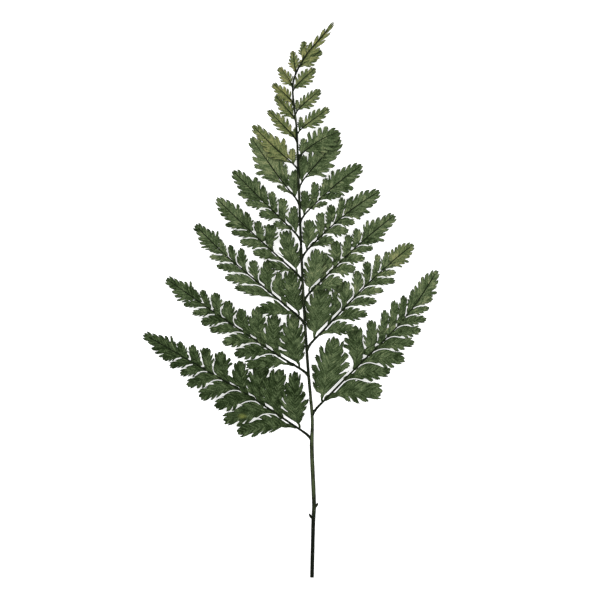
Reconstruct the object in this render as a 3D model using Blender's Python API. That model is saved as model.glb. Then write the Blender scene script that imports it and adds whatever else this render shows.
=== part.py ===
"""Dried fern frond, cut and lying face up: a bare stalk that runs on as the midrib, and side leaves cut to the rib.

Sizes are in millimetres and are turned to metres when a mesh is made. +X is to the frond's right, +Y to its
tip and +Z up. The origin stands under the middle of the frond, on the surface that it lies on.
"""

import math
from dataclasses import dataclass

import bmesh
import bpy
from mathutils import Vector
from mathutils.geometry import delaunay_2d_cdt

MM = 0.001

# Where the origin stands in the plan, whose own zero is the middle of the stalk's cut end.
ORIGIN = (-17.25, 222.384)

# The stalk and midrib in the plan: it zigzags a little away from each side leaf.
STALK_LINE = (
    (0.0, 0.0), (1.0, 44.0), (1.6, 60.0), (-0.2, 104.0), (0.2, 128.0), (-3.2, 168.0), (-6.9, 226.0), (-9.4, 282.0),
    (-11.0, 325.0), (-12.4, 360.0), (-15.4, 388.0), (-13.6, 402.0), (-4.4, 419.0), (5.0, 430.0), (12.6, 439.0),
)
# Height of its centre over the surface, and its half thickness, against the distance from the cut end.
STALK_HEIGHT = ((0, 1.45), (32, 1.45), (70, 3.0), (110, 6.2), (160, 8.8), (220, 9.6), (290, 8.8), (350, 6.4),
                (400, 3.4), (440, 1.5))
STALK_RADIUS = ((0, 1.45), (32, 1.45), (108, 1.45), (124, 1.25), (200, 1.10), (300, 0.90), (380, 0.66), (440, 0.40))
STALK_SIDES = 8
STALK_STEP = 17.0
STALK_POINTS_PER_BEND = 12

# Two scars on the bare stalk, where small scales broke off: side, place, reach and half width.
SCARS = ((1, 57.0, 3.2, 1.2), (-1, 49.0, 3.0, 1.1))

BLADE_THICK = 0.62
RIB_THICK = 1.15
RIB_HALF_WIDTH = 0.85
RIB_END_SHARE = 0.45
TILT = 0.12
TIP_REST = BLADE_THICK / 2

# How much of the room to its neighbours a leaflet fills on its tipward and rootward side, and at most of its length.
FILL = (0.66, 0.46)
WIDEST = (0.32, 0.25)
START = 17.0
BASE_WIDTH = 2.0
SLIT = 0.75
END_WIDTH = 1.2
CLEARANCE = 0.35
STALK_CLEARANCE = 1.9

# Half width along a leaflet, as shares of its length and of its greatest half width.
TIPWARD = ((0, 0.06), (0.10, 0.30), (0.20, 0.78), (0.34, 1.0), (0.55, 0.96), (0.75, 0.74), (0.88, 0.50),
           (0.96, 0.28), (1.0, 0.10))
ROOTWARD = ((0, 0.06), (0.12, 0.14), (0.25, 0.34), (0.38, 0.66), (0.52, 0.92), (0.66, 1.0), (0.80, 0.84),
            (0.90, 0.56), (0.96, 0.32), (1.0, 0.10))
BASAL_TIPWARD = ((0, 0.03), (0.08, 0.12), (0.20, 0.60), (0.36, 1.0), (0.52, 0.96), (0.75, 0.66), (0.88, 0.40),
                 (0.96, 0.20), (1.0, 0.06))
BASAL_ROOTWARD = ((0, 0.03), (0.10, 0.12), (0.20, 0.55), (0.34, 0.95), (0.5, 1.0), (0.72, 0.78), (0.88, 0.46),
                  (0.96, 0.22), (1.0, 0.06))
END = ((0, 0.08), (0.08, 0.42), (0.22, 1.0), (0.40, 0.88), (0.65, 0.60), (0.85, 0.36), (0.96, 0.16), (1.0, 0.04))

LEAF_GREEN = (0.075, 0.105, 0.035, 1.0)
LEAF_ROUGHNESS = 0.62


@dataclass(frozen=True)
class Leaf:
    """One side leaf of the frond, and the leaflets along its rib.

    A leaflet is (share of the rib where it stands, length, angle from the leaf's chord). The basal one adds its tipward
    and rootward half widths, and the end blade is (share, half width).
    """

    name: str
    side: int
    root: float
    tip: tuple
    bow: float
    sway: float
    rest: float
    end: tuple
    basal: tuple
    up: tuple = ()
    down: tuple = ()


LEAVES = (
    Leaf(
        "left_1", -1, 110.4, (-135.0, 195.0), 3.0, 0.6, 0.0, (0.8, 7.0), (0.08, 46, 54, 13, 9),
        ((0.18, 39, 57), (0.29, 33, 54), (0.39, 28, 45), (0.5, 27, 42), (0.59, 23, 41), (0.67, 19, 39),
         (0.745, 16, 35)),
        ((0.094, 48, 38), (0.226, 42, 41), (0.346, 33, 43), (0.445, 32, 46), (0.547, 28, 43), (0.63, 22, 39),
         (0.697, 21, 37), (0.767, 17, 38)),
    ),
    Leaf(
        "left_2", -1, 161.6, (-116.8, 239.4), -0.4, 0.0, 1.6, (0.8, 6.5), (0.07, 44, 50, 14, 10),
        ((0.196, 34, 47), (0.297, 33, 46), (0.406, 24, 36), (0.52, 21, 42), (0.61, 20, 43), (0.69, 17, 34),
         (0.755, 12, 30)),
        ((0.1, 39, 34), (0.23, 33, 36), (0.348, 29, 35), (0.457, 27, 32), (0.56, 22, 38), (0.64, 20, 33),
         (0.71, 19, 28)),
    ),
    Leaf(
        "left_3", -1, 202.4, (-93.6, 282.6), -0.6, 1.0, 2.2, (0.78, 6.5), (0.067, 38, 38, 13, 10),
        ((0.176, 29, 36), (0.31, 27, 43), (0.42, 19, 34), (0.52, 21, 35), (0.61, 17, 30), (0.7, 15, 27)),
        ((0.08, 32, 34), (0.244, 37, 26), (0.387, 31, 29), (0.513, 26, 29), (0.63, 21, 28), (0.71, 14, 26)),
    ),
    Leaf(
        "left_4", -1, 236.8, (-76.4, 303.7), 0.4, 0.4, 2.6, (0.72, 7.0), (0.083, 36, 30, 10, 10),
        ((0.354, 22, 40), (0.48, 17, 36), (0.6, 16, 34)),
        ((0.09, 24, 28), (0.23, 26, 27), (0.396, 22, 31), (0.51, 20, 30), (0.61, 18, 29)),
    ),
    Leaf(
        "left_5", -1, 268.8, (-63.2, 325.6), 0.8, 0.3, 2.4, (0.66, 7.2), (0.1, 22, 42, 8, 6),
        ((0.253, 20, 39), (0.39, 18, 36), (0.506, 16, 31)),
        ((0.15, 16, 30), (0.3, 19, 34), (0.456, 18, 34), (0.56, 16, 30)),
    ),
    Leaf(
        "left_6", -1, 297.6, (-48.4, 352.4), -0.5, 0.0, 2.0, (0.4, 9.4), (0.12, 22, 38, 8, 7),
        ((0.28, 18, 34),),
        ((0.15, 15, 28), (0.29, 20, 34)),
    ),
    Leaf(
        "left_7", -1, 325.8, (-47.4, 362.0), -0.5, 0.0, 2.6, (0.24, 7.5), (0.12, 13, 42, 5, 4),
        (),
        ((0.14, 11, 30),),
    ),
    Leaf("left_8", -1, 347.5, (-35.3, 374.5), 0.5, 0.0, 2.0, (0.16, 5.0), (0.1, 10, 46, 3.6, 2.6)),
    Leaf("left_9", -1, 364.0, (-29.6, 385.6), 0.5, 0.0, 1.8, (0.12, 5.2), ()),
    Leaf("left_10", -1, 377.6, (-31.6, 395.6), 0.5, 0.0, 1.6, (0.12, 4.8), ()),
    Leaf("left_11", -1, 390.4, (-26.7, 408.8), 0.8, 0.0, 1.2, (0.14, 4.0), ()),
    Leaf("left_12", -1, 402.0, (-15.6, 422.0), -0.6, 0.0, 0.8, (0.14, 3.8), ()),
    Leaf("left_13", -1, 413.6, (-6.4, 430.0), -0.5, 0.0, 0.6, (0.14, 3.4), ()),
    Leaf(
        "right_1", 1, 130.0, (100.4, 246.0), -3.8, 2.0, 0.0, (0.8, 7.5), (0.085, 53, 40, 20, 13),
        ((0.32, 35, 40), (0.425, 29, 36), (0.51, 28, 34), (0.58, 28, 34), (0.66, 23, 33), (0.73, 20, 29)),
        ((0.118, 44, 43), (0.248, 38, 39), (0.366, 36, 44), (0.464, 33, 39), (0.56, 28, 38), (0.64, 24, 35),
         (0.71, 20, 30), (0.765, 18, 25)),
    ),
    Leaf(
        "right_2", 1, 182.0, (81.2, 267.0), 3.3, -0.3, 1.6, (0.8, 7.0), (0.092, 44, 42, 15, 12),
        ((0.217, 37, 33), (0.35, 24, 42), (0.467, 22, 38), (0.565, 21, 40), (0.64, 21, 34), (0.728, 16, 31)),
        ((0.125, 30, 33), (0.258, 29, 34), (0.383, 26, 33), (0.475, 24, 34), (0.57, 25, 34), (0.66, 18, 33),
         (0.73, 16, 24)),
    ),
    Leaf(
        "right_3", 1, 220.8, (66.4, 290.4), 3.0, 0.0, 2.2, (0.74, 7.0), (0.08, 36, 36, 12, 10),
        ((0.205, 24, 36), (0.356, 22, 43), (0.475, 19, 39), (0.59, 16, 43), (0.665, 14, 28)),
        ((0.1, 27, 27), (0.3, 22, 32), (0.416, 21, 34), (0.525, 20, 32), (0.62, 16, 30)),
    ),
    Leaf(
        "right_4", 1, 254.8, (54.2, 309.6), 4.2, 0.0, 2.6, (0.68, 7.5), (0.096, 25, 46, 9, 7),
        ((0.24, 22, 43), (0.386, 20, 43), (0.494, 20, 38), (0.6, 15, 31)),
        ((0.145, 20, 27), (0.325, 20, 36), (0.458, 17, 38), (0.56, 16, 35)),
    ),
    Leaf(
        "right_5", 1, 284.0, (39.8, 330.2), 3.0, 0.0, 2.4, (0.6, 8.0), (0.1, 20, 48, 7, 6),
        ((0.215, 21, 41), (0.397, 16, 35)),
        ((0.2, 15, 24), (0.34, 19, 31), (0.485, 15, 33)),
    ),
    Leaf(
        "right_6", 1, 310.4, (22.9, 351.2), 2.0, 0.0, 2.0, (0.33, 9.0), (0.12, 20, 42, 7, 6),
        (),
        ((0.19, 12, 30),),
    ),
    Leaf("right_7", 1, 333.6, (22.0, 357.2), 3.0, 0.0, 2.6, (0.24, 9.0), (0.12, 14, 46, 6, 4)),
    Leaf("right_8", 1, 354.4, (13.6, 376.0), 0.5, 0.0, 2.0, (0.2, 5.6), (0.1, 12, 44, 3.8, 2.8)),
    Leaf("right_9", 1, 370.4, (6.8, 390.8), 0.4, 0.0, 1.8, (0.18, 4.9), (0.09, 10, 44, 3.0, 2.4)),
    Leaf("right_10", 1, 388.8, (2.6, 408.0), 0.4, 0.0, 1.2, (0.12, 5.0), ()),
    Leaf("right_11", 1, 406.4, (8.0, 422.0), 0.4, 0.0, 0.8, (0.12, 4.2), ()),
)
# The lobed tip of the frond: where its blade starts on the midrib, and its apex.
TIP_START, TIP_APEX, TIP_HALF_WIDTH, TIP_LOBES = 421.0, (17.6, 444.8), 4.6, 4


def table_at(table, x):
    """Value of a table of (x, value) rows at x, straight between its rows."""
    for (x0, y0), (x1, y1) in zip(table, table[1:]):
        if x <= x1:
            return y0 + (y1 - y0) * max(x - x0, 0) / (x1 - x0)
    return table[-1][1]


def smooth_at(table, x):
    """The same with an eased step between the rows."""
    for (x0, y0), (x1, y1) in zip(table, table[1:]):
        if x <= x1:
            t = max(x - x0, 0) / (x1 - x0)
            return y0 + (y1 - y0) * t * t * (3 - 2 * t)
    return table[-1][1]


def smooth_line(points, per_bend):
    """A curve through the points, with per_bend points between two of them."""
    line = []
    last = len(points) - 1
    for i in range(last):
        a, b, c, d = points[max(i - 1, 0)], points[i], points[i + 1], points[min(i + 2, last)]
        for j in range(per_bend):
            t = j / per_bend
            line.append(Vector([
                0.5 * (2 * q + (r - p) * t + (2 * p - 5 * q + 4 * r - s) * t**2 + (3 * q - p - 3 * r + s) * t**3)
                for p, q, r, s in zip(a, b, c, d)
            ]))
    line.append(Vector(points[last]))
    return line


STALK = smooth_line(STALK_LINE, STALK_POINTS_PER_BEND)


def stalk_at(y):
    """The stalk's centre in the plan at this distance from the cut end."""
    for a, b in zip(STALK, STALK[1:]):
        if a.y <= y <= b.y:
            return a.lerp(b, (y - a.y) / (b.y - a.y))
    return STALK[-1]


class Line:
    """A line in the plan that is read by its share of length."""

    def __init__(self, points):
        self.points = points
        self.run = [0.0]
        for a, b in zip(points, points[1:]):
            self.run.append(self.run[-1] + (b - a).length)
        self.length = self.run[-1]

    def at(self, share):
        """(point, direction) at a share of the length."""
        run = min(max(share, 0), 1) * self.length
        i = next((i for i in range(1, len(self.run)) if self.run[i] >= run), len(self.run) - 1)
        a, b = self.points[i - 1], self.points[i]
        return a.lerp(b, (run - self.run[i - 1]) / (self.run[i] - self.run[i - 1])), (b - a).normalized()

    def nearest(self, point):
        """(share, distance) of the line's nearest place; the distance is over 0 on the line's left."""
        best = (1e9, 0.0, 0.0)
        for i, (a, b) in enumerate(zip(self.points, self.points[1:])):
            way = b - a
            t = min(max((point - a).dot(way) / way.length_squared, 0), 1)
            off = point - a.lerp(b, t)
            if off.length < best[0]:
                left = way.x * off.y - way.y * off.x
                best = (off.length, (self.run[i] + t * way.length) / self.length, math.copysign(off.length, left))
        return best[1], best[2]


def rib_line(leaf, steps=40):
    """The leaf's rib in the plan: it leaves the midrib steeply, then bends by bow and sway."""
    root, tip = stalk_at(leaf.root), Vector(leaf.tip)
    way = tip - root
    up = Vector((-way.y, way.x)).normalized() * leaf.side
    points = []
    for i in range(steps + 1):
        u = i / steps
        start = 1.2 * u * way.length / 7 * math.exp(1 - u * way.length / 7)
        points.append(root + way * u + up * (leaf.bow * 4 * u * (1 - u) + leaf.sway * math.sin(2 * math.pi * u) + start))
    return Line(points)


def margin(table, first, lobes, depth, full):
    """(along, across) of one lobed margin from root to tip, as shares. full adds a shoulder to each lobe."""
    points = [(first / 2, table_at(table, first / 2))] if lobes > 1 or full else []
    step = (1 - first) / (lobes + 0.75)
    for i in range(lobes):
        start = first + i * step
        points.append((start + (0.16 * step if i else 0), table_at(table, start) * (1 - (depth if i else 0))))
        if full:
            points.append((start + 0.5 * step, table_at(table, start + 0.5 * step)))
        points.append((start + 1.12 * step, table_at(table, start + step)))
    if full:
        start = first + lobes * step
        points.append((start + 0.2 * step, table_at(table, start) * (1 - 0.8 * depth)))
    return points


def leaflet(root, heading, turn, length, half, lobes, depth, bend, tables, firsts, start=15.0, full=False):
    """Outline of one leaflet: its tipward margin, its tip and its rootward margin back to the root.

    turn is 1 where it leaves the rib to the left and -1 to the right; half holds its two half widths.
    """
    first_way = heading + turn * math.radians(start)
    chord = heading + turn * math.radians(bend)
    middle = root + Vector((math.cos(first_way), math.sin(first_way))) * 0.42 * length
    tip = root + Vector((math.cos(chord), math.sin(chord))) * length
    if not bend:
        middle = root.lerp(tip, 0.5)

    def place(t, across):
        s = min(t, 1.0)
        point = root * (1 - s) ** 2 + middle * 2 * s * (1 - s) + tip * s * s
        way = ((middle - root) * 2 * (1 - s) + (tip - middle) * 2 * s).normalized()
        return point + way * max(t - 1, 0) * length + Vector((way.y, -way.x)) * across * turn

    tipward = [place(t, w * half[0]) for t, w in margin(tables[0], firsts[0], lobes[0], depth, full)]
    rootward = [place(t, -w * half[1]) for t, w in margin(tables[1], firsts[1], lobes[1], depth, full)]
    return tipward + [place(1.0, 0.0)] + rootward[::-1]


def meet(a, b, c, d):
    """Whether the stretch from a to b and the one from c to d cross in the plan."""
    way, other = b - a, d - c
    cross = way.x * other.y - way.y * other.x
    if abs(cross) < 1e-9:
        return False
    t = ((c - a).x * other.y - (c - a).y * other.x) / cross
    u = ((c - a).x * way.y - (c - a).y * way.x) / cross
    return 0 <= t <= 1 and 0 <= u <= 1


def gap_to(point, a, b):
    way = b - a
    t = min(max((point - a).dot(way) / max(way.length_squared, 1e-9), 0), 1)
    return (point - a.lerp(b, t)).length


def crosses(first, second):
    """Whether two open outlines cross, or come nearer than CLEARANCE, in the plan."""
    for a, b in zip(first, first[1:]):
        for c, d in zip(second, second[1:]):
            if meet(a, b, c, d) or min(gap_to(a, c, d), gap_to(b, c, d), gap_to(c, a, b), gap_to(d, a, b)) < CLEARANCE:
                return True
    return False


def untangled(outline):
    """The outline without the points of each small loop that it makes with itself."""
    i = 0
    while i < len(outline) - 3:
        for j in range(len(outline) - 2, i + 1, -1):
            if meet(outline[i], outline[i + 1], outline[j], outline[j + 1]):
                del outline[i + 1:j + 1]
                break
        i += 1
    return outline


def held_off(point, rib, turn, leaf):
    """The point pushed clear of its own rib and of the midrib."""
    share, left = rib.nearest(point)
    near = rib_half_width(rib, share) + SLIT * size_of(rib) - left * turn
    if near > 0:
        way = rib.at(share)[1]
        point = point + Vector((-way.y, way.x)) * turn * near
    off = leaf.side * (point.x - stalk_at(point.y).x)
    if off < STALK_CLEARANCE and point.y > leaf.root:
        point = Vector((point.x + leaf.side * (STALK_CLEARANCE - off), point.y))
    return point


def size_of(rib):
    """How large the fine parts of a leaf are, against those of the longest leaves."""
    return min(1.0, 0.35 + rib.length / 180)


def rib_half_width(rib, share):
    return RIB_HALF_WIDTH * size_of(rib) * (1 - (1 - RIB_END_SHARE) * share)


def side_row(leaf, rib, turn, end_margin):
    """The outlines of one side's free leaflets, each from its rootward base on the rib to its tipward one."""
    upper = turn == leaf.side
    base = BASE_WIDTH * size_of(rib) / 2 / rib.length
    way = Vector(leaf.tip) - stalk_at(leaf.root)
    heading = math.atan2(way.y, way.x)
    specs = ([leaf.basal] if upper and leaf.basal else []) + list(leaf.up if upper else leaf.down)
    row = []
    for k, (share, length, angle, *halves) in enumerate(specs):
        root, _ = rib.at(share)
        following = specs[k + 1][0] if k + 1 < len(specs) else max(leaf.end[0], share + 0.06)
        gap = (following - share) * rib.length
        before = (share - specs[k - 1][0]) * rib.length if k else gap
        if halves:
            half = halves
            lobes = max(2, round(length / 9))
            form = dict(lobes=(lobes, lobes), depth=0.36, bend=angle, start=0.7 * angle, firsts=(0.17, 0.17),
                        tables=(BASAL_TIPWARD, BASAL_ROOTWARD), full=length > 45)
        else:
            spread = math.sin(math.radians(angle))
            half = [min(f * room * spread, w * length) for f, room, w in zip(FILL, (gap, before), WIDEST)]
            lobes = 4 if length > 30 else 3 if length > 20 else 2
            form = dict(lobes=(lobes, max(lobes - 1, 1)), depth=0.36, bend=angle, firsts=(0.24, 0.42),
                        start=min(START, 0.6 * angle), tables=(TIPWARD, ROOTWARD))
        last = k == len(specs) - 1
        for attempt in range(14):
            form["bend"] += 1.0 if last and attempt else 0.0
            outline = leaflet(root, heading, turn, length, [h * 0.93**attempt for h in half], **form)
            outline = [held_off(p, rib, turn, leaf) for p in outline][::-1]
            outline = [on_rib_edge(rib, share - base, turn)] + outline + [on_rib_edge(rib, share + base, turn)]
            outline = untangled(outline)
            if not (row and crosses(row[-1], outline)) and not (last and crosses(outline, end_margin)):
                break
        row.append(outline)
    return row


def leaf_outline(leaf):
    """(rib, outline, places of rib points in it) of a whole leaf, as one closed outline in the plan."""
    rib = rib_line(leaf)
    end_share, half = leaf.end
    root, _ = rib.at(end_share)
    way = Vector(leaf.tip) - root
    half *= END_WIDTH
    lobes = 5 if way.length > 24 else 4 if way.length > 16 else 3
    end = leaflet(root, math.atan2(way.y, way.x), 1, way.length, (half, half), (lobes, lobes), 0.5, 0.0,
                  (END, END), (0.12, 0.16))
    # The end blade's first margin is the one on the rib's right.
    middle = len(end) // 2
    margins = {-1: end[:middle], 1: end[middle + 1:][::-1]}
    edges = {}
    for turn in (leaf.side, -leaf.side):
        line = [on_rib_edge(rib, 0.0, turn)]
        for outline in side_row(leaf, rib, turn, margins[turn]):
            line += outline
        edges[turn] = line + [on_rib_edge(rib, end_share, turn)] + margins[turn]
    return rib, edges[1] + [end[middle]] + edges[-1][::-1], end_share


def on_rib_edge(rib, share, turn):
    point, way = rib.at(share)
    return point + Vector((-way.y, way.x)) * turn * rib_half_width(rib, share)


def height_of(leaf, rib, point):
    """Height of the leaf's middle surface: the rib droops to its tip, the upper half hangs and the lower lifts."""
    share, left = rib.nearest(point)
    start = smooth_at(STALK_HEIGHT, leaf.root)
    end = TIP_REST + leaf.rest
    rib_height = end + (start - end) * (1 - share) ** 1.15
    return max(rib_height - TILT * left * leaf.side * min(1.0, share / 0.05), TIP_REST)


def slab(name, outline, ridge, height, rib_thick):
    """A closed blade: the outline filled with triangles, alike on both faces, and thicker along the ridge."""
    points = outline + ridge
    count = len(outline)
    bounds = [(i, (i + 1) % count) for i in range(count)]
    bounds += [(count + i, count + i + 1) for i in range(len(ridge) - 1)]
    flat, _, faces, origins, _, _ = delaunay_2d_cdt(points, bounds, [], 1, 1e-4)
    on_ridge = {i for i, made_from in enumerate(origins) if any(j >= count for j in made_from)}
    mesh = bmesh.new()
    rows = []
    for up in (1, -1):
        rows.append([
            mesh.verts.new((p.x, p.y, max(height(p) + up * (rib_thick if i in on_ridge else BLADE_THICK) / 2, 0.0)))
            for i, p in enumerate(flat)
        ])
    rim = {}
    for face in faces:
        mesh.faces.new([rows[0][i] for i in face])
        mesh.faces.new([rows[1][i] for i in reversed(face)])
        for a, b in zip(face, face[1:] + face[:1]):
            if (b, a) in rim:
                del rim[b, a]
            else:
                rim[a, b] = True
    for a, b in rim:
        mesh.faces.new((rows[0][b], rows[0][a], rows[1][a], rows[1][b]))
    return solid(name, mesh)


def solid(name, mesh):
    """An object from a bmesh whose points are millimetres in the plan."""
    for vert in mesh.verts:
        vert.co = Vector((vert.co.x - ORIGIN[0], vert.co.y - ORIGIN[1], vert.co.z)) * MM
    bmesh.ops.triangulate(mesh, faces=mesh.faces[:])
    bmesh.ops.recalc_face_normals(mesh, faces=mesh.faces[:])
    data = bpy.data.meshes.new(name)
    mesh.to_mesh(data)
    mesh.free()
    obj = bpy.data.objects.new(name, data)
    bpy.context.scene.collection.objects.link(obj)
    return obj


def stalk():
    """The stalk and midrib: an eight-sided tube with a flat side down, which lies flat near the cut end."""
    line = Line(STALK)
    count = round(line.length / STALK_STEP)
    mesh = bmesh.new()
    rings = []
    for i in range(count + 1):
        centre, way = line.at(i / count)
        radius = table_at(STALK_RADIUS, centre.y) / math.cos(math.pi / STALK_SIDES)
        across = Vector((way.y, -way.x, 0))
        ring = []
        for k in range(STALK_SIDES):
            angle = 2 * math.pi * (k + 0.5) / STALK_SIDES
            middle = Vector((centre.x, centre.y, smooth_at(STALK_HEIGHT, centre.y)))
            ring.append(mesh.verts.new(middle + across * math.sin(angle) * radius
                                       + Vector((0, 0, -math.cos(angle) * radius))))
        rings.append(ring)
    for below, above in zip(rings, rings[1:]):
        for k in range(STALK_SIDES):
            m = (k + 1) % STALK_SIDES
            mesh.faces.new((below[k], below[m], above[m], above[k]))
    mesh.faces.new(rings[0])
    mesh.faces.new(rings[-1][::-1])
    return solid("frond", mesh)


def scar(side, place, reach, half):
    """A short pointed stub of a broken scale, leaning up the stalk and sunk into it."""
    mesh = bmesh.new()
    centre = stalk_at(place)
    z = smooth_at(STALK_HEIGHT, place)
    tip = mesh.verts.new((centre.x + side * reach, place + 1.8, z + 0.2))
    ring = [
        mesh.verts.new((centre.x + side * 0.4, place + half * 1.6 * math.cos(a), z + half * math.sin(a)))
        for a in (2 * math.pi * k / 5 for k in range(5))
    ]
    for a, b in zip(ring, ring[1:] + ring[:1]):
        mesh.faces.new((a, b, tip))
    mesh.faces.new(ring[::-1])
    return solid(f"scar_{side}", mesh)


def side_leaf(leaf):
    rib, outline, end_share = leaf_outline(leaf)
    count = max(3, round(rib.length / 20))
    last = end_share + (1 - end_share) * 0.55
    ridge = [rib.at(last * i / count)[0] for i in range(1, count + 1)]
    # The rib starts inside the midrib, so its base is closed there.
    ridge.insert(0, rib.at(0.004)[0])
    thick = RIB_THICK * min(1.0, 0.62 + rib.length / 400)
    return slab(leaf.name, outline, ridge, lambda p: height_of(leaf, rib, p), thick)


def frond_tip():
    """The lobed blade round the last of the midrib."""
    root, apex = stalk_at(TIP_START), Vector(TIP_APEX)
    way = apex - root
    half = (TIP_HALF_WIDTH, TIP_HALF_WIDTH)
    outline = leaflet(root, math.atan2(way.y, way.x), 1, way.length, half, (TIP_LOBES, TIP_LOBES), 0.5, 0.0,
                      (END, END), (0.10, 0.14))
    rise = smooth_at(STALK_HEIGHT, TIP_START) - TIP_REST

    def height(point):
        share = (point - root).dot(way) / way.length_squared
        return TIP_REST + rise * max(1 - share, 0)

    return slab("tip", outline, [root.lerp(apex, 0.1), root.lerp(apex, 0.5), root.lerp(apex, 0.8)], height, 0.9)


def leaf_material():
    material = bpy.data.materials.new("dried_leaf_green")
    material.use_nodes = True
    surface = material.node_tree.nodes["Principled BSDF"]
    surface.inputs["Base Color"].default_value = LEAF_GREEN
    surface.inputs["Roughness"].default_value = LEAF_ROUGHNESS
    surface.inputs["Metallic"].default_value = 0.0
    return material


def grow_together(body, others):
    """Joins the side leaves, the tip and the scars to the stalk in one Boolean union, and removes them."""
    group = bpy.data.collections.new("grown_on")
    for obj in others:
        group.objects.link(obj)
    union = body.modifiers.new("union", "BOOLEAN")
    union.operation = "UNION"
    union.operand_type = "COLLECTION"
    union.collection = group
    bpy.context.view_layer.update()
    made = bpy.data.meshes.new_from_object(body.evaluated_get(bpy.context.evaluated_depsgraph_get()))
    body.modifiers.clear()
    body.data = made
    for obj in others:
        bpy.data.objects.remove(obj)
    bpy.data.collections.remove(group)


def build():
    for obj in list(bpy.data.objects):
        bpy.data.objects.remove(obj)
    body = stalk()
    grown = [side_leaf(leaf) for leaf in LEAVES] + [frond_tip()] + [scar(*values) for values in SCARS]
    grow_together(body, grown)
    body.data.name = "frond"
    body.data.materials.clear()
    body.data.materials.append(leaf_material())
    body.data.shade_flat()


build()
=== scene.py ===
"""Looks of a dried fern frond that lies face up on a pale floor, seen from straight above.

The frond's plan is measured in millimetres from the middle of the stalk's cut end, with +Y to its tip. Each
leaflet is cut once for its kind, copied, and bent to its place along the rib that it grows from.
"""

from __future__ import annotations

import logging
import math
import random
from dataclasses import dataclass, field
from enum import Enum

import bmesh
import bpy
import numpy as np
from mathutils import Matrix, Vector
from mathutils.kdtree import KDTree


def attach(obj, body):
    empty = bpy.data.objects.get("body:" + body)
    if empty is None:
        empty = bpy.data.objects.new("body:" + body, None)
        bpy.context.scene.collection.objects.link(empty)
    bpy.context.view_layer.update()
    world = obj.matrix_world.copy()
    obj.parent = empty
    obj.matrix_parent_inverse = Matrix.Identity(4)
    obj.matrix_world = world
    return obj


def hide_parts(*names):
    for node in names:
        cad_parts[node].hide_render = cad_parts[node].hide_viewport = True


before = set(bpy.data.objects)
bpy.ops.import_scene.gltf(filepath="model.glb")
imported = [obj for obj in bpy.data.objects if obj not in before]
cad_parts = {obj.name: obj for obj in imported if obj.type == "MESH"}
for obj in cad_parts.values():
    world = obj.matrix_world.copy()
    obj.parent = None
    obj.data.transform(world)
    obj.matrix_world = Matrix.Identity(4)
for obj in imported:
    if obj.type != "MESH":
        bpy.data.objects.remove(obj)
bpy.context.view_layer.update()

LOG = logging.getLogger("fern_frond")
MM = 0.001
BODY = "root"
NODE = "frond"
SEED = 11

# Where the object's origin stands in the plan.
PLAN_ORIGIN = np.array([-17.25, 222.384])

# The stalk and midrib in the plan, then its height over the floor and its half thickness against the plan's y.
STALK_LINE = (
    (0.0, 0.0), (1.0, 44.0), (1.6, 60.0), (-0.2, 104.0), (0.2, 128.0), (-3.2, 168.0), (-6.9, 226.0), (-9.4, 282.0),
    (-11.0, 325.0), (-12.4, 360.0), (-15.4, 388.0), (-13.6, 402.0), (-4.4, 419.0), (5.0, 430.0), (12.6, 439.0),
)
STALK_HEIGHT = ((0, 1.45), (32, 1.45), (70, 3.0), (110, 6.2), (160, 8.8), (220, 9.6), (290, 8.8), (350, 6.4),
                (400, 3.4), (440, 1.5))
STALK_RADIUS = ((0, 1.58), (32, 1.58), (70, 1.70), (108, 1.72), (120, 1.36), (200, 1.15), (300, 1.00), (380, 0.84),
                (410, 0.74), (440, 0.30))

# The two scars on the bare stalk: side, place along it, reach and half width.
SCARS = ((1, 57.0, 2.6, 1.15), (-1, 48.0, 3.0, 1.15))

# How high a rib swings up from its chord where it leaves the midrib, and how far out that is, in millimetres.
FOOT_RISE = 1.2
FOOT_RUN = 7.0

# Where the tip's own blade starts on the midrib, and where it ends.
TIP_FOOT = 412.0
TIP_APEX = (17.6, 444.8)

Color = tuple[float, float, float, float]
Table = tuple[tuple[float, float], ...]


def table_at(table: Table, x: np.ndarray | float) -> np.ndarray:
    """Reads a table straight between its rows.

    Args:
        table: rows of (x, value), with x rising.
        x: where it is read.

    Returns:
        The values at x.
    """
    rows = np.array(table, float)
    return np.interp(x, rows[:, 0], rows[:, 1])


def eased_at(table: Table, x: float) -> float:
    """Reads a table with an eased step between its rows.

    Args:
        table: rows of (x, value), with x rising.
        x: where it is read.

    Returns:
        The value at x.
    """
    for (x0, y0), (x1, y1) in zip(table, table[1:]):
        if x <= x1:
            t = max(x - x0, 0) / (x1 - x0)
            return y0 + (y1 - y0) * t * t * (3 - 2 * t)
    return table[-1][1]


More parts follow.
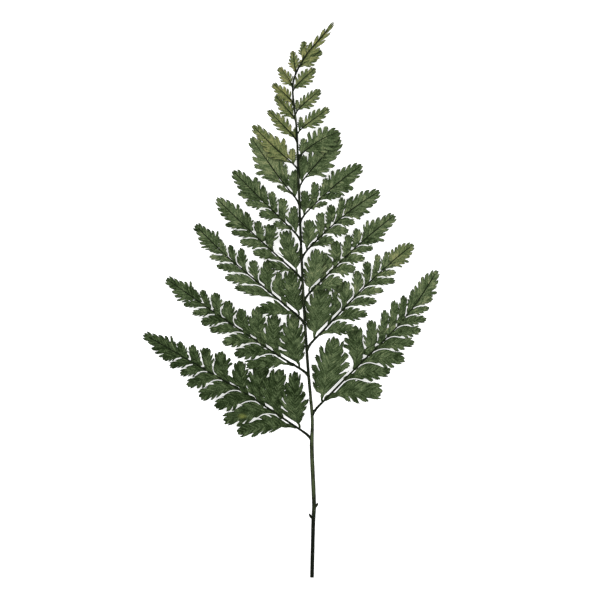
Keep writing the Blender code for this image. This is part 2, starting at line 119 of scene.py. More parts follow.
class PlanLine:
    """A line in the plan that is read by its share of length."""

    def __init__(self, points: np.ndarray) -> None:
        """Measures the line.

        Args:
            points: its points, one (x, y) row each.
        """
        self.points = np.asarray(points, float)
        self.ways = np.diff(self.points, axis=0)
        self.steps = np.hypot(*self.ways.T)
        self.run = np.concatenate([[0.0], np.cumsum(self.steps)])
        self.length = float(self.run[-1])

    @classmethod
    def through(cls, points: tuple[tuple[float, float], ...], per_bend: int = 12) -> PlanLine:
        """Draws a smooth curve through some points.

        Args:
            points: the points that it passes.
            per_bend: how many points lie between two of them.

        Returns:
            The curve.
        """
        p = np.array([points[0], *points, points[-1]], float)
        t = np.linspace(0, 1, per_bend, endpoint=False)[:, None]
        bends = [
            0.5 * (2 * b + (c - a) * t + (2 * a - 5 * b + 4 * c - d) * t**2 + (3 * b - a - 3 * c + d) * t**3)
            for a, b, c, d in zip(p, p[1:], p[2:], p[3:])
        ]
        return cls(np.vstack([*bends, p[-1:]]))

    def at(self, share: float) -> tuple[np.ndarray, np.ndarray]:
        """Reads the line at a share of its length.

        Args:
            share: from 0 at its root to 1 at its tip.

        Returns:
            The point there and the line's direction, as a unit vector.
        """
        run = min(max(share, 0.0), 1.0) * self.length
        i = int(np.clip(np.searchsorted(self.run, run) - 1, 0, len(self.steps) - 1))
        return self.points[i] + self.ways[i] * (run - self.run[i]) / self.steps[i], self.ways[i] / self.steps[i]

    def at_height(self, y: float) -> np.ndarray:
        """Finds the point where the line passes a height in the plan.

        Args:
            y: that height.

        Returns:
            The point.
        """
        i = int(np.clip(np.searchsorted(self.points[:, 1], y) - 1, 0, len(self.steps) - 1))
        share = (y - self.points[i, 1]) / max(self.ways[i, 1], 1e-9)
        return self.points[i] + self.ways[i] * min(max(share, 0.0), 1.0)

    def nearest(self, points: np.ndarray) -> tuple[np.ndarray, np.ndarray, np.ndarray]:
        """Finds the line's nearest place to each point.

        Args:
            points: the points, one (x, y) row each.

        Returns:
            The share of the line there, the distance, over 0 on the line's left, and the way to the left.
        """
        off = points[:, None] - self.points[None, :-1]
        t = np.clip((off * self.ways).sum(2) / self.steps**2, 0, 1)
        gap = np.hypot(*np.moveaxis(off - t[..., None] * self.ways, 2, 0))
        best = gap.argmin(1)
        rows = np.arange(len(points))
        left = np.stack([-self.ways[best, 1], self.ways[best, 0]], 1) / self.steps[best, None]
        side = np.sign((off[rows, best] * left).sum(1))
        share = (self.run[best] + t[rows, best] * self.steps[best]) / self.length
        return share, gap[rows, best] * side, left


STALK = PlanLine.through(STALK_LINE)


def choose(*objects: bpy.types.Object) -> None:
    """Selects these objects only, and makes the first one active."""
    bpy.ops.object.select_all(action="DESELECT")
    for obj in objects:
        obj.select_set(True)
    bpy.context.view_layer.objects.active = objects[0]


def joined(name: str, pieces: list[bpy.types.Object]) -> bpy.types.Object:
    """Joins pieces in one.

    Args:
        name: the new piece's name.
        pieces: what it is joined from.

    Returns:
        The new piece.
    """
    choose(*pieces)
    bpy.ops.object.join()
    pieces[0].name = pieces[0].data.name = name
    return pieces[0]


class Hand:
    """Work on one object in edit mode, with what is selected chosen by place."""

    def __init__(self, obj: bpy.types.Object) -> None:
        """Opens the object in edit mode.

        Args:
            obj: the object that is worked on.
        """
        self.obj = obj
        choose(obj)
        bpy.ops.object.mode_set(mode="EDIT")
        bpy.context.tool_settings.mesh_select_mode = (True, True, True)

    def shape(self) -> bmesh.types.BMesh:
        """The mesh that is open in edit mode."""
        return bmesh.from_edit_mesh(self.obj.data)

    def pick(self, corners: list[Vector]) -> None:
        """Selects the edges that run from each of these corners to the next.

        Args:
            corners: where the corners of the chain of edges lie.
        """
        mesh = self.shape()
        bpy.ops.mesh.select_all(action="DESELECT")
        chain = [min(mesh.verts, key=lambda v: (v.co - corner).length_squared) for corner in corners]
        for a, b in zip(chain, chain[1:]):
            for edge in a.link_edges:
                if edge.other_vert(a) == b:
                    edge.select_set(True)
        bmesh.update_edit_mesh(self.obj.data)

    def extrude(self, move: Vector, narrow: float) -> list[Vector]:
        """Extrudes the selected chain of edges, and narrows its new end about its middle.

        Args:
            move: how far the new end moves.
            narrow: the share of its length that the new end keeps.

        Returns:
            The corners of the new end, along the X axis.
        """
        bpy.ops.mesh.extrude_region_move(TRANSFORM_OT_translate={"value": tuple(move)})
        ends = self.picked()
        middle = sum(ends, Vector()) / len(ends)
        bpy.ops.transform.resize(value=(narrow, narrow, 1.0), center_override=tuple(middle))
        return self.picked()

    def picked(self) -> list[Vector]:
        """Where the selected corners lie, along the X axis."""
        return sorted((v.co.copy() for v in self.shape().verts if v.select), key=lambda co: co.x)

    def close(self) -> bpy.types.Object:
        """Leaves edit mode and returns the object."""
        bpy.ops.object.mode_set(mode="OBJECT")
        return self.obj


def apply_modifier(obj: bpy.types.Object, kind: str, **values: object) -> None:
    """Adds a modifier with these values and applies it.

    Args:
        obj: the object that it works on.
        kind: the modifier's type.
        values: its settings.
    """
    choose(obj)
    modifier = obj.modifiers.new(kind.title(), kind)
    for name, value in values.items():
        setattr(modifier, name, value)
    bpy.ops.object.modifier_apply(modifier=modifier.name)


def shade(obj: bpy.types.Object, angle: float) -> None:
    """Turns all faces outward, and shades smooth across the edges that are blunter than an angle.

    Args:
        obj: the object.
        angle: that angle, in degrees.
    """
    hand = Hand(obj)
    bpy.ops.mesh.select_all(action="SELECT")
    bpy.ops.mesh.normals_make_consistent(inside=False)
    hand.close()
    bpy.ops.object.shade_smooth_by_angle(angle=math.radians(angle))


def soft_floor(values: np.ndarray, least: np.ndarray | float, soft: float) -> np.ndarray:
    """Raises what is under a least value to it, with a rounded step.

    Args:
        values: the values.
        least: the least one.
        soft: how wide the step is.

    Returns:
        The raised values.
    """
    return least + soft * np.logaddexp(0, (values - least) / soft)


# The stages that a lobe is drawn out in: share of its step along the blade, share of its reach, rise, and narrowing.
Stage = tuple[float, float, float, float]
SHORT_LOBE: tuple[Stage, ...] = ((0.42, 0.54, 0.014, 0.94), (0.26, 0.30, -0.004, 0.84))
LONG_LOBE: tuple[Stage, ...] = ((0.30, 0.40, 0.018, 0.94), (0.36, 0.34, 0.0, 0.96), (0.20, 0.18, -0.012, 0.82))
TEETH = (0.7, 1.15, 1.0)


@dataclass(frozen=True)
class LeafletCut:
    """How one kind of leaflet is cut: its margins, as shares of its length and of its greatest half width."""

    name: str
    tipward: Table
    rootward: Table
    lobes: int
    first: float
    last: float
    depth: tuple[float, float]
    late: int
    lean: float = 0.75
    long_lobes: bool = False
    levels: int = 1

    def columns(self) -> list[float]:
        """Sets out the blade's cross rows: four on its narrow foot, then three for each lobe.

        Returns:
            Where they lie along it.
        """
        count = 3 * self.lobes
        foot = [self.first * share for share in (0.0, 0.3, 0.6, 0.82)]
        return foot + [self.first + (self.last - self.first) * (k / count) ** 1.08 for k in range(count + 1)]

    def margin(self, side: int, along: float) -> float:
        """Half width of the blade with its lobes.

        Args:
            side: 1 for the tipward margin and -1 for the rootward one.
            along: how far along the blade.

        Returns:
            The half width, as a share of the greatest.
        """
        return float(table_at(self.tipward if side > 0 else self.rootward, along))

    def core(self, columns: list[float], side: int, column: int) -> float:
        """Half width of the uncut middle of the blade.

        Args:
            columns: where its cross rows lie.
            side: 1 for the tipward margin and -1 for the rootward one.
            column: the cross row's number.

        Returns:
            The half width, as a share of the greatest.
        """
        along = columns[column]
        edge = self.margin(side, along)
        start = 4 + (0 if side > 0 else 3 * self.late)
        if column < start:
            return edge
        share = (along - self.first) / (self.last - self.first)
        depth = self.depth[0] + (self.depth[1] - self.depth[0]) * share
        return edge * (1 - depth * (1.0 if (column - start) % 3 == 0 else 0.86))

    def cut(self, seed: int) -> bpy.types.Object:
        """Models the leaflet flat, with its length along X from 0 to 1.

        Args:
            seed: which of the kind's variants it is.

        Returns:
            The blade, open on its underside and hidden from the render.
        """
        columns = self.columns()
        chance = random.Random(f"{self.name}{seed}")
        bpy.ops.mesh.primitive_grid_add(x_subdivisions=len(columns) - 1, y_subdivisions=2, size=2)
        blade = bpy.context.object
        blade.name = f"cut_{self.name}_{seed}"
        hand = Hand(blade)
        mesh = hand.shape()
        places = sorted({round(v.co.x, 4) for v in mesh.verts})
        for vert in mesh.verts:
            column = places.index(round(vert.co.x, 4))
            side = round(vert.co.y)
            vert.co = Vector((columns[column], side * self.core(columns, side, column) if side else 0.0, 0.0))
        bmesh.update_edit_mesh(blade.data)
        for side in (1, -1):
            for k in range(0 if side > 0 else self.late, self.lobes):
                self.lobe(hand, columns, side, 4 + 3 * k, chance.uniform(0.88, 1.10))
        self.apex(hand, columns)
        hand.close()
        bpy.ops.object.transform_apply(location=True, rotation=True, scale=True)
        apply_modifier(blade, "SUBSURF", levels=self.levels, render_levels=self.levels, boundary_smooth="ALL")
        blade.hide_render = True
        return blade

    def lobe(self, hand: Hand, columns: list[float], side: int, column: int, size: float) -> None:
        """Grows one lobe from the blade's side, leaning to its tip, with three blunt teeth along its end.

        A long lobe also has a tooth on each flank.

        Args:
            hand: the open blade.
            columns: where its cross rows lie.
            side: 1 for the tipward margin and -1 for the rootward one.
            column: the cross row where the lobe starts.
            size: how far it reaches, against the blade's own margin.
        """
        step = columns[column + 3] - columns[column]
        root = [
            Vector((columns[c], side * self.core(columns, side, c), 0.0)) for c in range(column, column + 4)
        ]
        edge = self.margin(side, min(columns[column] + (0.5 + 0.7 * self.lean) * step, 1.0))
        out = max(edge * 1.06 * size - abs(root[1].y), 0.12)
        ends = [root]
        for along, across, rise, narrow in LONG_LOBE if self.long_lobes else SHORT_LOBE:
            hand.pick(ends[-1])
            ends.append(hand.extrude(Vector((self.lean * along * step, side * across * out, rise)), narrow))
            if self.long_lobes and len(ends) == 3:
                for corner, way in ((0, -1), (3, 1)):
                    hand.pick([ends[1][corner], ends[2][corner]])
                    hand.extrude(Vector((way * 0.08 * step + 0.09 * step, side * 0.07 * out, -0.01)), 0.45)
        end = ends[-1]
        for (a, b), reach in zip(zip(end, end[1:]), TEETH):
            hand.pick([a, b])
            hand.extrude(Vector((0.08 * step * reach, side * 0.27 * out * reach, -0.012)), 0.38)

    def apex(self, hand: Hand, columns: list[float]) -> None:
        """Draws the blade out to its toothed tip.

        Args:
            hand: the open blade.
            columns: where its cross rows lie.
        """
        last = len(columns) - 1
        along, rest = columns[last], 1 - columns[last]
        half = [side * self.core(columns, side, last) if side else 0.0 for side in (-1, 0, 1)]
        hand.pick([Vector((along, y, 0.0)) for y in half])
        hand.extrude(Vector((0.40 * rest, 0.0, 0.0)), 1.0)
        bpy.ops.transform.resize(value=(1.0, 1.20, 1.0), center_override=(along, 0.0, 0.0))
        hand.extrude(Vector((0.34 * rest, 0.0, -0.006)), 1.0)
        bpy.ops.transform.resize(value=(1.0, 0.80, 1.0), center_override=(along, 0.0, 0.0))
        low, middle, high = sorted(hand.picked(), key=lambda co: co.y)
        for a, b in ((low, middle), (middle, high)):
            hand.pick([a, b])
            hand.extrude(Vector((0.34 * rest, 0.0, -0.01)), 0.34)


TIPWARD: Table = ((0, 0.09), (0.05, 0.34), (0.12, 0.78), (0.22, 1.0), (0.40, 1.0), (0.56, 0.92), (0.70, 0.80),
                  (0.84, 0.60), (0.94, 0.38), (1.0, 0.16))
ROOTWARD: Table = ((0, 0.10), (0.15, 0.15), (0.28, 0.30), (0.40, 0.58), (0.52, 0.88), (0.65, 1.0), (0.78, 0.95),
                   (0.88, 0.72), (0.95, 0.48), (1.0, 0.22))
BASAL_TIPWARD: Table = ((0, 0.05), (0.08, 0.12), (0.19, 0.44), (0.33, 0.88), (0.46, 1.0), (0.70, 0.74), (0.88, 0.40),
                        (1.0, 0.12))
BASAL_ROOTWARD: Table = ((0, 0.05), (0.09, 0.14), (0.22, 0.52), (0.37, 0.92), (0.52, 1.0), (0.74, 0.76), (0.90, 0.42),
                         (1.0, 0.12))
END_MARGIN: Table = ((0, 0.16), (0.06, 0.48), (0.14, 0.78), (0.24, 0.90), (0.36, 0.97), (0.48, 0.90), (0.63, 0.73),
                     (0.80, 0.51), (0.92, 0.30), (1.0, 0.12))
TIP_MARGIN: Table = ((0, 0.20), (0.12, 0.90), (0.24, 1.0), (0.42, 0.80), (0.62, 0.56), (0.82, 0.36), (1.0, 0.14))
WING_TIPWARD: Table = ((0, 0.64), (0.10, 0.80), (0.24, 1.0), (0.42, 0.94), (0.58, 0.80), (0.73, 0.62), (0.87, 0.42),
                       (1.0, 0.14))
WING_ROOTWARD: Table = ((0, 0.50), (0.16, 0.60), (0.32, 0.84), (0.50, 1.0), (0.66, 0.90), (0.80, 0.70), (0.91, 0.46),
                        (1.0, 0.16))
SIMPLE_MARGIN: Table = ((0, 0.10), (0.10, 0.36), (0.24, 0.90), (0.42, 1.0), (0.65, 0.84), (0.82, 0.58), (0.93, 0.36),
                        (1.0, 0.14))


class Kind(Enum):
    """The kinds of leaflet, each with its cut."""

    BASAL = LeafletCut("basal", BASAL_TIPWARD, BASAL_ROOTWARD, 6, 0.13, 0.90, (0.64, 0.42), 0, 0.9, long_lobes=True)
    BROAD = LeafletCut("broad", BASAL_TIPWARD, BASAL_ROOTWARD, 5, 0.22, 0.90, (0.44, 0.40), 0, 0.9)
    DEEP = LeafletCut("deep", TIPWARD, ROOTWARD, 5, 0.18, 0.92, (0.72, 0.40), 1, 0.9)
    LONG = LeafletCut("long", TIPWARD, ROOTWARD, 5, 0.24, 0.90, (0.38, 0.46), 2, 0.9)
    MIDDLE = LeafletCut("middle", TIPWARD, ROOTWARD, 4, 0.26, 0.88, (0.38, 0.46), 1, 0.9)
    SHORT = LeafletCut("short", TIPWARD, ROOTWARD, 3, 0.26, 0.84, (0.38, 0.46), 1, 0.9)
    WINGED = LeafletCut("winged", WING_TIPWARD, WING_ROOTWARD, 4, 0.26, 0.88, (0.36, 0.46), 0, 0.9)
    END = LeafletCut("end", END_MARGIN, END_MARGIN, 6, 0.06, 0.88, (0.40, 0.46), 0, lean=1.0)
    TIP = LeafletCut("tip", TIP_MARGIN, TIP_MARGIN, 5, 0.05, 0.90, (0.84, 0.72), 0, lean=0.95)
    SIMPLE = LeafletCut("simple", SIMPLE_MARGIN, SIMPLE_MARGIN, 5, 0.14, 0.88, (0.62, 0.46), 0, lean=0.95)


VARIANTS = 2


@dataclass(frozen=True)
class SideLeaf:
    """One side leaf of the frond, and the leaflets along its rib.

    Lengths are in millimetres and angles in degrees from the leaf's own chord. A leaflet is (share of the rib where
    it stands, length, angle). The basal one adds its tipward and rootward half widths, and may add the angle that it
    leaves the rib at. The end blade is (share, half width). From the share winged on, the upper leaflets have broad
    feet that run into the rib. Where the leaf is parted, a gap shows on both sides of its basal leaflet.
    """

    name: str
    side: int
    root: float
    tip: tuple[float, float]
    bow: float
    sway: float
    rest: float
    tone: float
    end: tuple[float, float]
    basal: tuple[float, ...] = ()
    up: tuple[tuple[float, float, float], ...] = ()
    down: tuple[tuple[float, float, float], ...] = ()
    fade: float = 0.0
    winged: float = 0.62
    fullness: float = 1.0
    parted: bool = False

    def rib(self, steps: int = 48) -> PlanLine:
        """Draws the leaf's rib in the plan: it leaves the midrib steeply, and bends by bow and sway.

        Args:
            steps: how many stretches it is drawn in.

        Returns:
            The rib's line.
        """
        root = STALK.at_height(self.root)
        way = np.array(self.tip) - root
        length = float(np.hypot(*way))
        up = np.array([-way[1], way[0]]) / length * self.side
        u = np.linspace(0, 1, steps + 1)[:, None]
        foot = FOOT_RISE * u * length / FOOT_RUN * np.exp(1 - u * length / FOOT_RUN)
        bend = self.bow * 4 * u * (1 - u) + self.sway * np.sin(2 * np.pi * u) + foot
        return PlanLine(root + way * u + up * bend)


LEAVES = (
    SideLeaf(
        "left_1", -1, 110.4, (-135.0, 195.0), 3.0, 0.6, 0.0, 0.00, (0.80, 7.0), (0.080, 46, 54, 13, 9),
        ((0.180, 39, 57), (0.290, 33, 54), (0.390, 28, 45), (0.500, 27, 42), (0.590, 23, 41), (0.670, 19, 39),
         (0.745, 16, 35)),
        ((0.094, 48, 38), (0.226, 42, 41), (0.346, 33, 43), (0.445, 32, 46), (0.547, 28, 43), (0.630, 22, 39),
         (0.697, 21, 37), (0.767, 17, 38)), fullness=1.08,
    ),
    SideLeaf(
        "left_2", -1, 161.6, (-116.8, 239.4), -0.4, 0.0, 1.6, 0.10, (0.80, 6.5), (0.070, 44, 50, 14, 10),
        ((0.196, 34, 47), (0.297, 33, 46), (0.406, 24, 36), (0.520, 21, 42), (0.610, 20, 43), (0.690, 17, 34),
         (0.755, 12, 30)),
        ((0.100, 39, 34), (0.230, 33, 36), (0.348, 29, 35), (0.457, 27, 32), (0.560, 22, 38), (0.640, 20, 33),
         (0.710, 19, 28)), fullness=1.12,
    ),
    SideLeaf(
        "left_3", -1, 202.4, (-93.6, 282.6), -0.6, 1.0, 2.2, 0.28, (0.78, 6.5), (0.067, 38, 38, 13, 10),
        ((0.176, 29, 36), (0.310, 27, 43), (0.420, 19, 34), (0.520, 21, 35), (0.610, 17, 30), (0.700, 15, 27)),
        ((0.080, 32, 34), (0.244, 37, 26), (0.387, 31, 29), (0.513, 26, 29), (0.630, 21, 28), (0.710, 14, 26)),
    ),
    SideLeaf(
        "left_4", -1, 236.8, (-76.4, 303.7), 0.4, 0.4, 2.6, 0.26, (0.67, 7.2), (0.083, 36, 30, 10, 10),
        ((0.354, 22, 40), (0.480, 17, 36), (0.600, 16, 34)),
        ((0.090, 24, 28), (0.230, 26, 27), (0.396, 24, 31), (0.510, 23, 30), (0.610, 21, 29)),
        winged=0.45, fullness=1.25,
    ),
    SideLeaf(
        "left_5", -1, 268.8, (-63.2, 325.6), 0.8, 0.3, 2.4, 0.32, (0.59, 7.6), (0.10, 22, 42, 8, 6),
        ((0.253, 20, 39), (0.390, 18, 36), (0.506, 16, 31)),
        ((0.150, 16, 30), (0.300, 19, 34), (0.456, 21, 34), (0.560, 22, 30)), winged=0.36, fullness=1.25,
    ),
    SideLeaf(
        "left_6", -1, 297.6, (-48.4, 352.4), -0.5, 0.0, 2.0, 0.48, (0.40, 9.4), (0.12, 22, 38, 8, 7),
        ((0.280, 18, 34),), ((0.150, 15, 28), (0.290, 20, 34)), winged=0.25,
    ),
    SideLeaf(
        "left_7", -1, 325.8, (-47.4, 362.0), -0.5, 0.0, 2.6, 0.80, (0.24, 6.8), (0.12, 13, 42, 5, 4),
        (), ((0.140, 11, 30),),
    ),
    SideLeaf("left_8", -1, 347.5, (-35.3, 374.5), 0.5, 0.0, 2.0, 0.80, (0.16, 4.7), (0.10, 10, 46, 3.6, 2.6)),
    SideLeaf("left_9", -1, 364.0, (-29.6, 385.6), 0.5, 0.0, 1.8, 0.82, (0.12, 4.6)),
    SideLeaf("left_10", -1, 377.6, (-31.6, 395.6), 0.5, 0.0, 1.6, 0.92, (0.12, 4.2)),
    SideLeaf("left_11", -1, 390.4, (-26.7, 408.8), 0.8, 0.0, 1.2, 0.82, (0.14, 4.0)),
    SideLeaf("left_12", -1, 402.0, (-15.6, 422.0), -0.6, 0.0, 0.8, 0.84, (0.14, 3.8)),
    SideLeaf("left_13", -1, 413.6, (-6.4, 430.0), -0.5, 0.0, 0.6, 0.78, (0.14, 3.4)),
    SideLeaf(
        "right_1", 1, 130.0, (100.4, 246.0), -3.8, 2.0, 0.0, 0.18, (0.80, 7.5), (0.085, 53, 29, 20, 12.5, 32),
        ((0.320, 35, 40), (0.425, 29, 36), (0.510, 28, 34), (0.580, 28, 34), (0.660, 23, 33), (0.730, 20, 29)),
        ((0.102, 46, 44), (0.245, 38, 39), (0.366, 36, 44), (0.464, 33, 39), (0.560, 28, 38), (0.640, 24, 35),
         (0.710, 20, 30), (0.765, 18, 25)), fade=0.24, winged=0.40, fullness=1.20, parted=True,
    ),
    SideLeaf(
        "right_2", 1, 182.0, (81.2, 267.0), 3.3, -0.3, 1.6, 0.20, (0.80, 7.0), (0.092, 44, 38, 17, 13, 36),
        ((0.217, 37, 33), (0.350, 24, 42), (0.467, 22, 38), (0.565, 21, 40), (0.640, 21, 34), (0.728, 16, 31)),
        ((0.125, 30, 33), (0.258, 29, 34), (0.383, 26, 33), (0.475, 24, 34), (0.570, 25, 34), (0.660, 18, 33),
         (0.730, 16, 24)), fade=0.46, winged=0.6,
    ),
    SideLeaf(
        "right_3", 1, 220.8, (66.4, 290.4), 3.0, 0.0, 2.2, 0.36, (0.69, 7.4), (0.080, 36, 36, 12, 10),
        ((0.205, 24, 36), (0.356, 22, 43), (0.475, 19, 39), (0.590, 16, 43), (0.665, 14, 28)),
        ((0.100, 27, 27), (0.300, 22, 32), (0.416, 21, 34), (0.525, 20, 32), (0.620, 16, 30)),
        winged=0.46, fullness=1.20,
    ),
    SideLeaf(
        "right_4", 1, 254.8, (54.2, 309.6), 4.2, 0.0, 2.6, 0.38, (0.61, 8.0), (0.096, 25, 46, 9, 7),
        ((0.240, 22, 43), (0.386, 20, 43), (0.494, 20, 38), (0.600, 15, 31)),
        ((0.145, 20, 27), (0.325, 20, 36), (0.458, 17, 38), (0.560, 16, 35)), winged=0.37, fullness=1.18,
    ),
    SideLeaf(
        "right_5", 1, 284.0, (39.8, 330.2), 3.0, 0.0, 2.4, 0.40, (0.51, 8.6), (0.10, 20, 48, 7, 6),
        ((0.215, 21, 41), (0.397, 16, 35)), ((0.200, 15, 24), (0.340, 19, 31), (0.485, 15, 33)),
        winged=0.20, fullness=1.22,
    ),
    SideLeaf(
        "right_6", 1, 310.4, (22.9, 351.2), 2.0, 0.0, 2.0, 0.44, (0.28, 9.4), (0.12, 23, 44, 8, 7),
        (), ((0.190, 12, 30),),
    ),
    SideLeaf("right_7", 1, 333.6, (22.0, 357.2), 3.0, 0.0, 2.6, 0.46, (0.24, 9.0), (0.12, 14, 46, 6, 4)),
    SideLeaf("right_8", 1, 354.4, (13.6, 376.0), 0.5, 0.0, 2.0, 0.64, (0.20, 5.1), (0.10, 12, 44, 3.5, 2.6)),
    SideLeaf("right_9", 1, 370.4, (6.8, 390.8), 0.4, 0.0, 1.8, 0.66, (0.18, 4.9), (0.09, 10, 44, 3.0, 2.4)),
    SideLeaf("right_10", 1, 388.8, (2.6, 408.0), 0.4, 0.0, 1.2, 0.74, (0.12, 5.0)),
    SideLeaf("right_11", 1, 406.4, (8.0, 422.0), 0.4, 0.0, 0.8, 0.74, (0.12, 4.2)),
)


@dataclass(frozen=True)
class Growth:
    """How wide leaflets grow between their neighbours, and how the blades lie over each other.

    Lengths are in millimetres. A slit is the gap beside a rib, a band the gap to the next leaflet's foot. The fields
    that end in over are the lengths past which a leaflet is cut as that kind.
    """

    upper_fill: tuple[float, float] = (1.00, 0.56)
    lower_fill: tuple[float, float] = (0.92, 0.46)
    widest: tuple[float, float] = (0.38, 0.26)
    band: float = 0.85
    crowded: float = 45.0
    start: float = 17.0
    tilt: float = 0.12
    twist: float = 0.09
    blade: float = 0.34
    floor_gap: float = 0.31
    rib_half_width: float = 0.94
    upper_slit: float = 3.5
    lower_slit: float = 2.3
    slit_run: float = 8.0
    slit_fall: float = 1.05
    slit_least: float = 0.2
    slit_soft: float = 0.40
    winged_slit: float = 0.1
    winged_open: float = 0.55
    band_soft: float = 0.35
    midrib_soft: float = 0.6
    parted_gap: float = 1.5
    end_width: float = 1.25
    deep_over: float = 38.0
    basal_over: float = 30.0
    long_over: float = 24.0
    middle_over: float = 12.0
    own_tone: float = 0.10
    own_turn: float = 1.5
    end_tone: float = 0.05
    rib_end: float = 0.97
    rib_step: float = 3.5
    rib_taper: float = 0.68
    rib_flare: float = 0.4
    rib_flare_run: float = 8.0


# Where a leaflet's axis bends, as a share of its length, then how far its small waves move it along, across and up.
AXIS_BEND = 0.42
WAVE_ALONG = 0.010
WAVE_ACROSS = 0.07
WAVE_UP = 0.05
# How much of a leaflet's length its tip droops by, and how high its lobes swell against its half width.
TIP_DROOP = 0.030
LOBE_SWELL = 1.4


@dataclass
class Leaflet:
    """One leaflet in its place: where its stalk leaves the rib, and how its axis runs."""

    kind: Kind
    root: np.ndarray
    heading: float
    turn: int
    length: float
    half: tuple[float, float]
    bend: float
    start: float
    tone: float
    chance: random.Random
    phase: float = field(init=False)
    neighbour: PlanLine | None = field(default=None, init=False)

    def __post_init__(self) -> None:
        """Draws the phase of the leaflet's own small waves."""
        self.phase = self.chance.uniform(0, 2 * math.pi)

    def plan(self, flat: np.ndarray) -> np.ndarray:
        """Bends the flat cut along the leaflet's axis.

        Args:
            flat: the cut's points, with x along and y across.

        Returns:
            The points in the plan.
        """
        first = self.heading + self.turn * math.radians(self.start)
        chord = self.heading + self.turn * math.radians(self.bend)
        middle = self.root + AXIS_BEND * self.length * np.array([math.cos(first), math.sin(first)])
        tip = self.root + self.length * np.array([math.cos(chord), math.sin(chord)])
        if not self.bend:
            middle = (self.root + tip) / 2
        along = flat[:, 0] + WAVE_ALONG * np.sin(9 * flat[:, 1] + self.phase)
        t = np.clip(along, 0, 1)[:, None]
        point = self.root * (1 - t) ** 2 + middle * 2 * t * (1 - t) + tip * t**2
        way = (middle - self.root) * 2 * (1 - t) + (tip - middle) * 2 * t
        way /= np.hypot(*way.T)[:, None]
        half = np.where(flat[:, 1] > 0, self.half[0], self.half[1])
        across = flat[:, 1] * half * (1 + WAVE_ACROSS * np.sin(11 * flat[:, 0] + 2 * self.phase))
        point = point + way * (np.maximum(along - 1, 0) * self.length)[:, None]
        return point + np.stack([way[:, 1], -way[:, 0]], 1) * (across * self.turn)[:, None]

    def rootward_line(self) -> PlanLine:
        """Follows the smooth inner part of the margin that faces the leaflet before, from the foot outward.

        Returns:
            The margin's line in the plan.
        """
        along = np.linspace(0, 0.80, 20)
        across = [-self.kind.value.margin(-1, a) for a in along]
        return PlanLine(self.plan(np.column_stack([along, across, np.zeros(len(along))])))

    def relief(self, flat: np.ndarray) -> np.ndarray:
        """How far each point stands over the leaf's own surface, in millimetres.

        Args:
            flat: the cut's points.

        Returns:
            The rise: the lobes swell and the blade waves a little.
        """
        size = max(self.half)
        wave = WAVE_UP * size * np.sin(7 * flat[:, 0] + self.phase) * np.abs(flat[:, 1])
        droop = -TIP_DROOP * self.length * np.clip(flat[:, 0] - 0.45, 0, 1) ** 2
        return flat[:, 2] * size * LOBE_SWELL + wave + droop


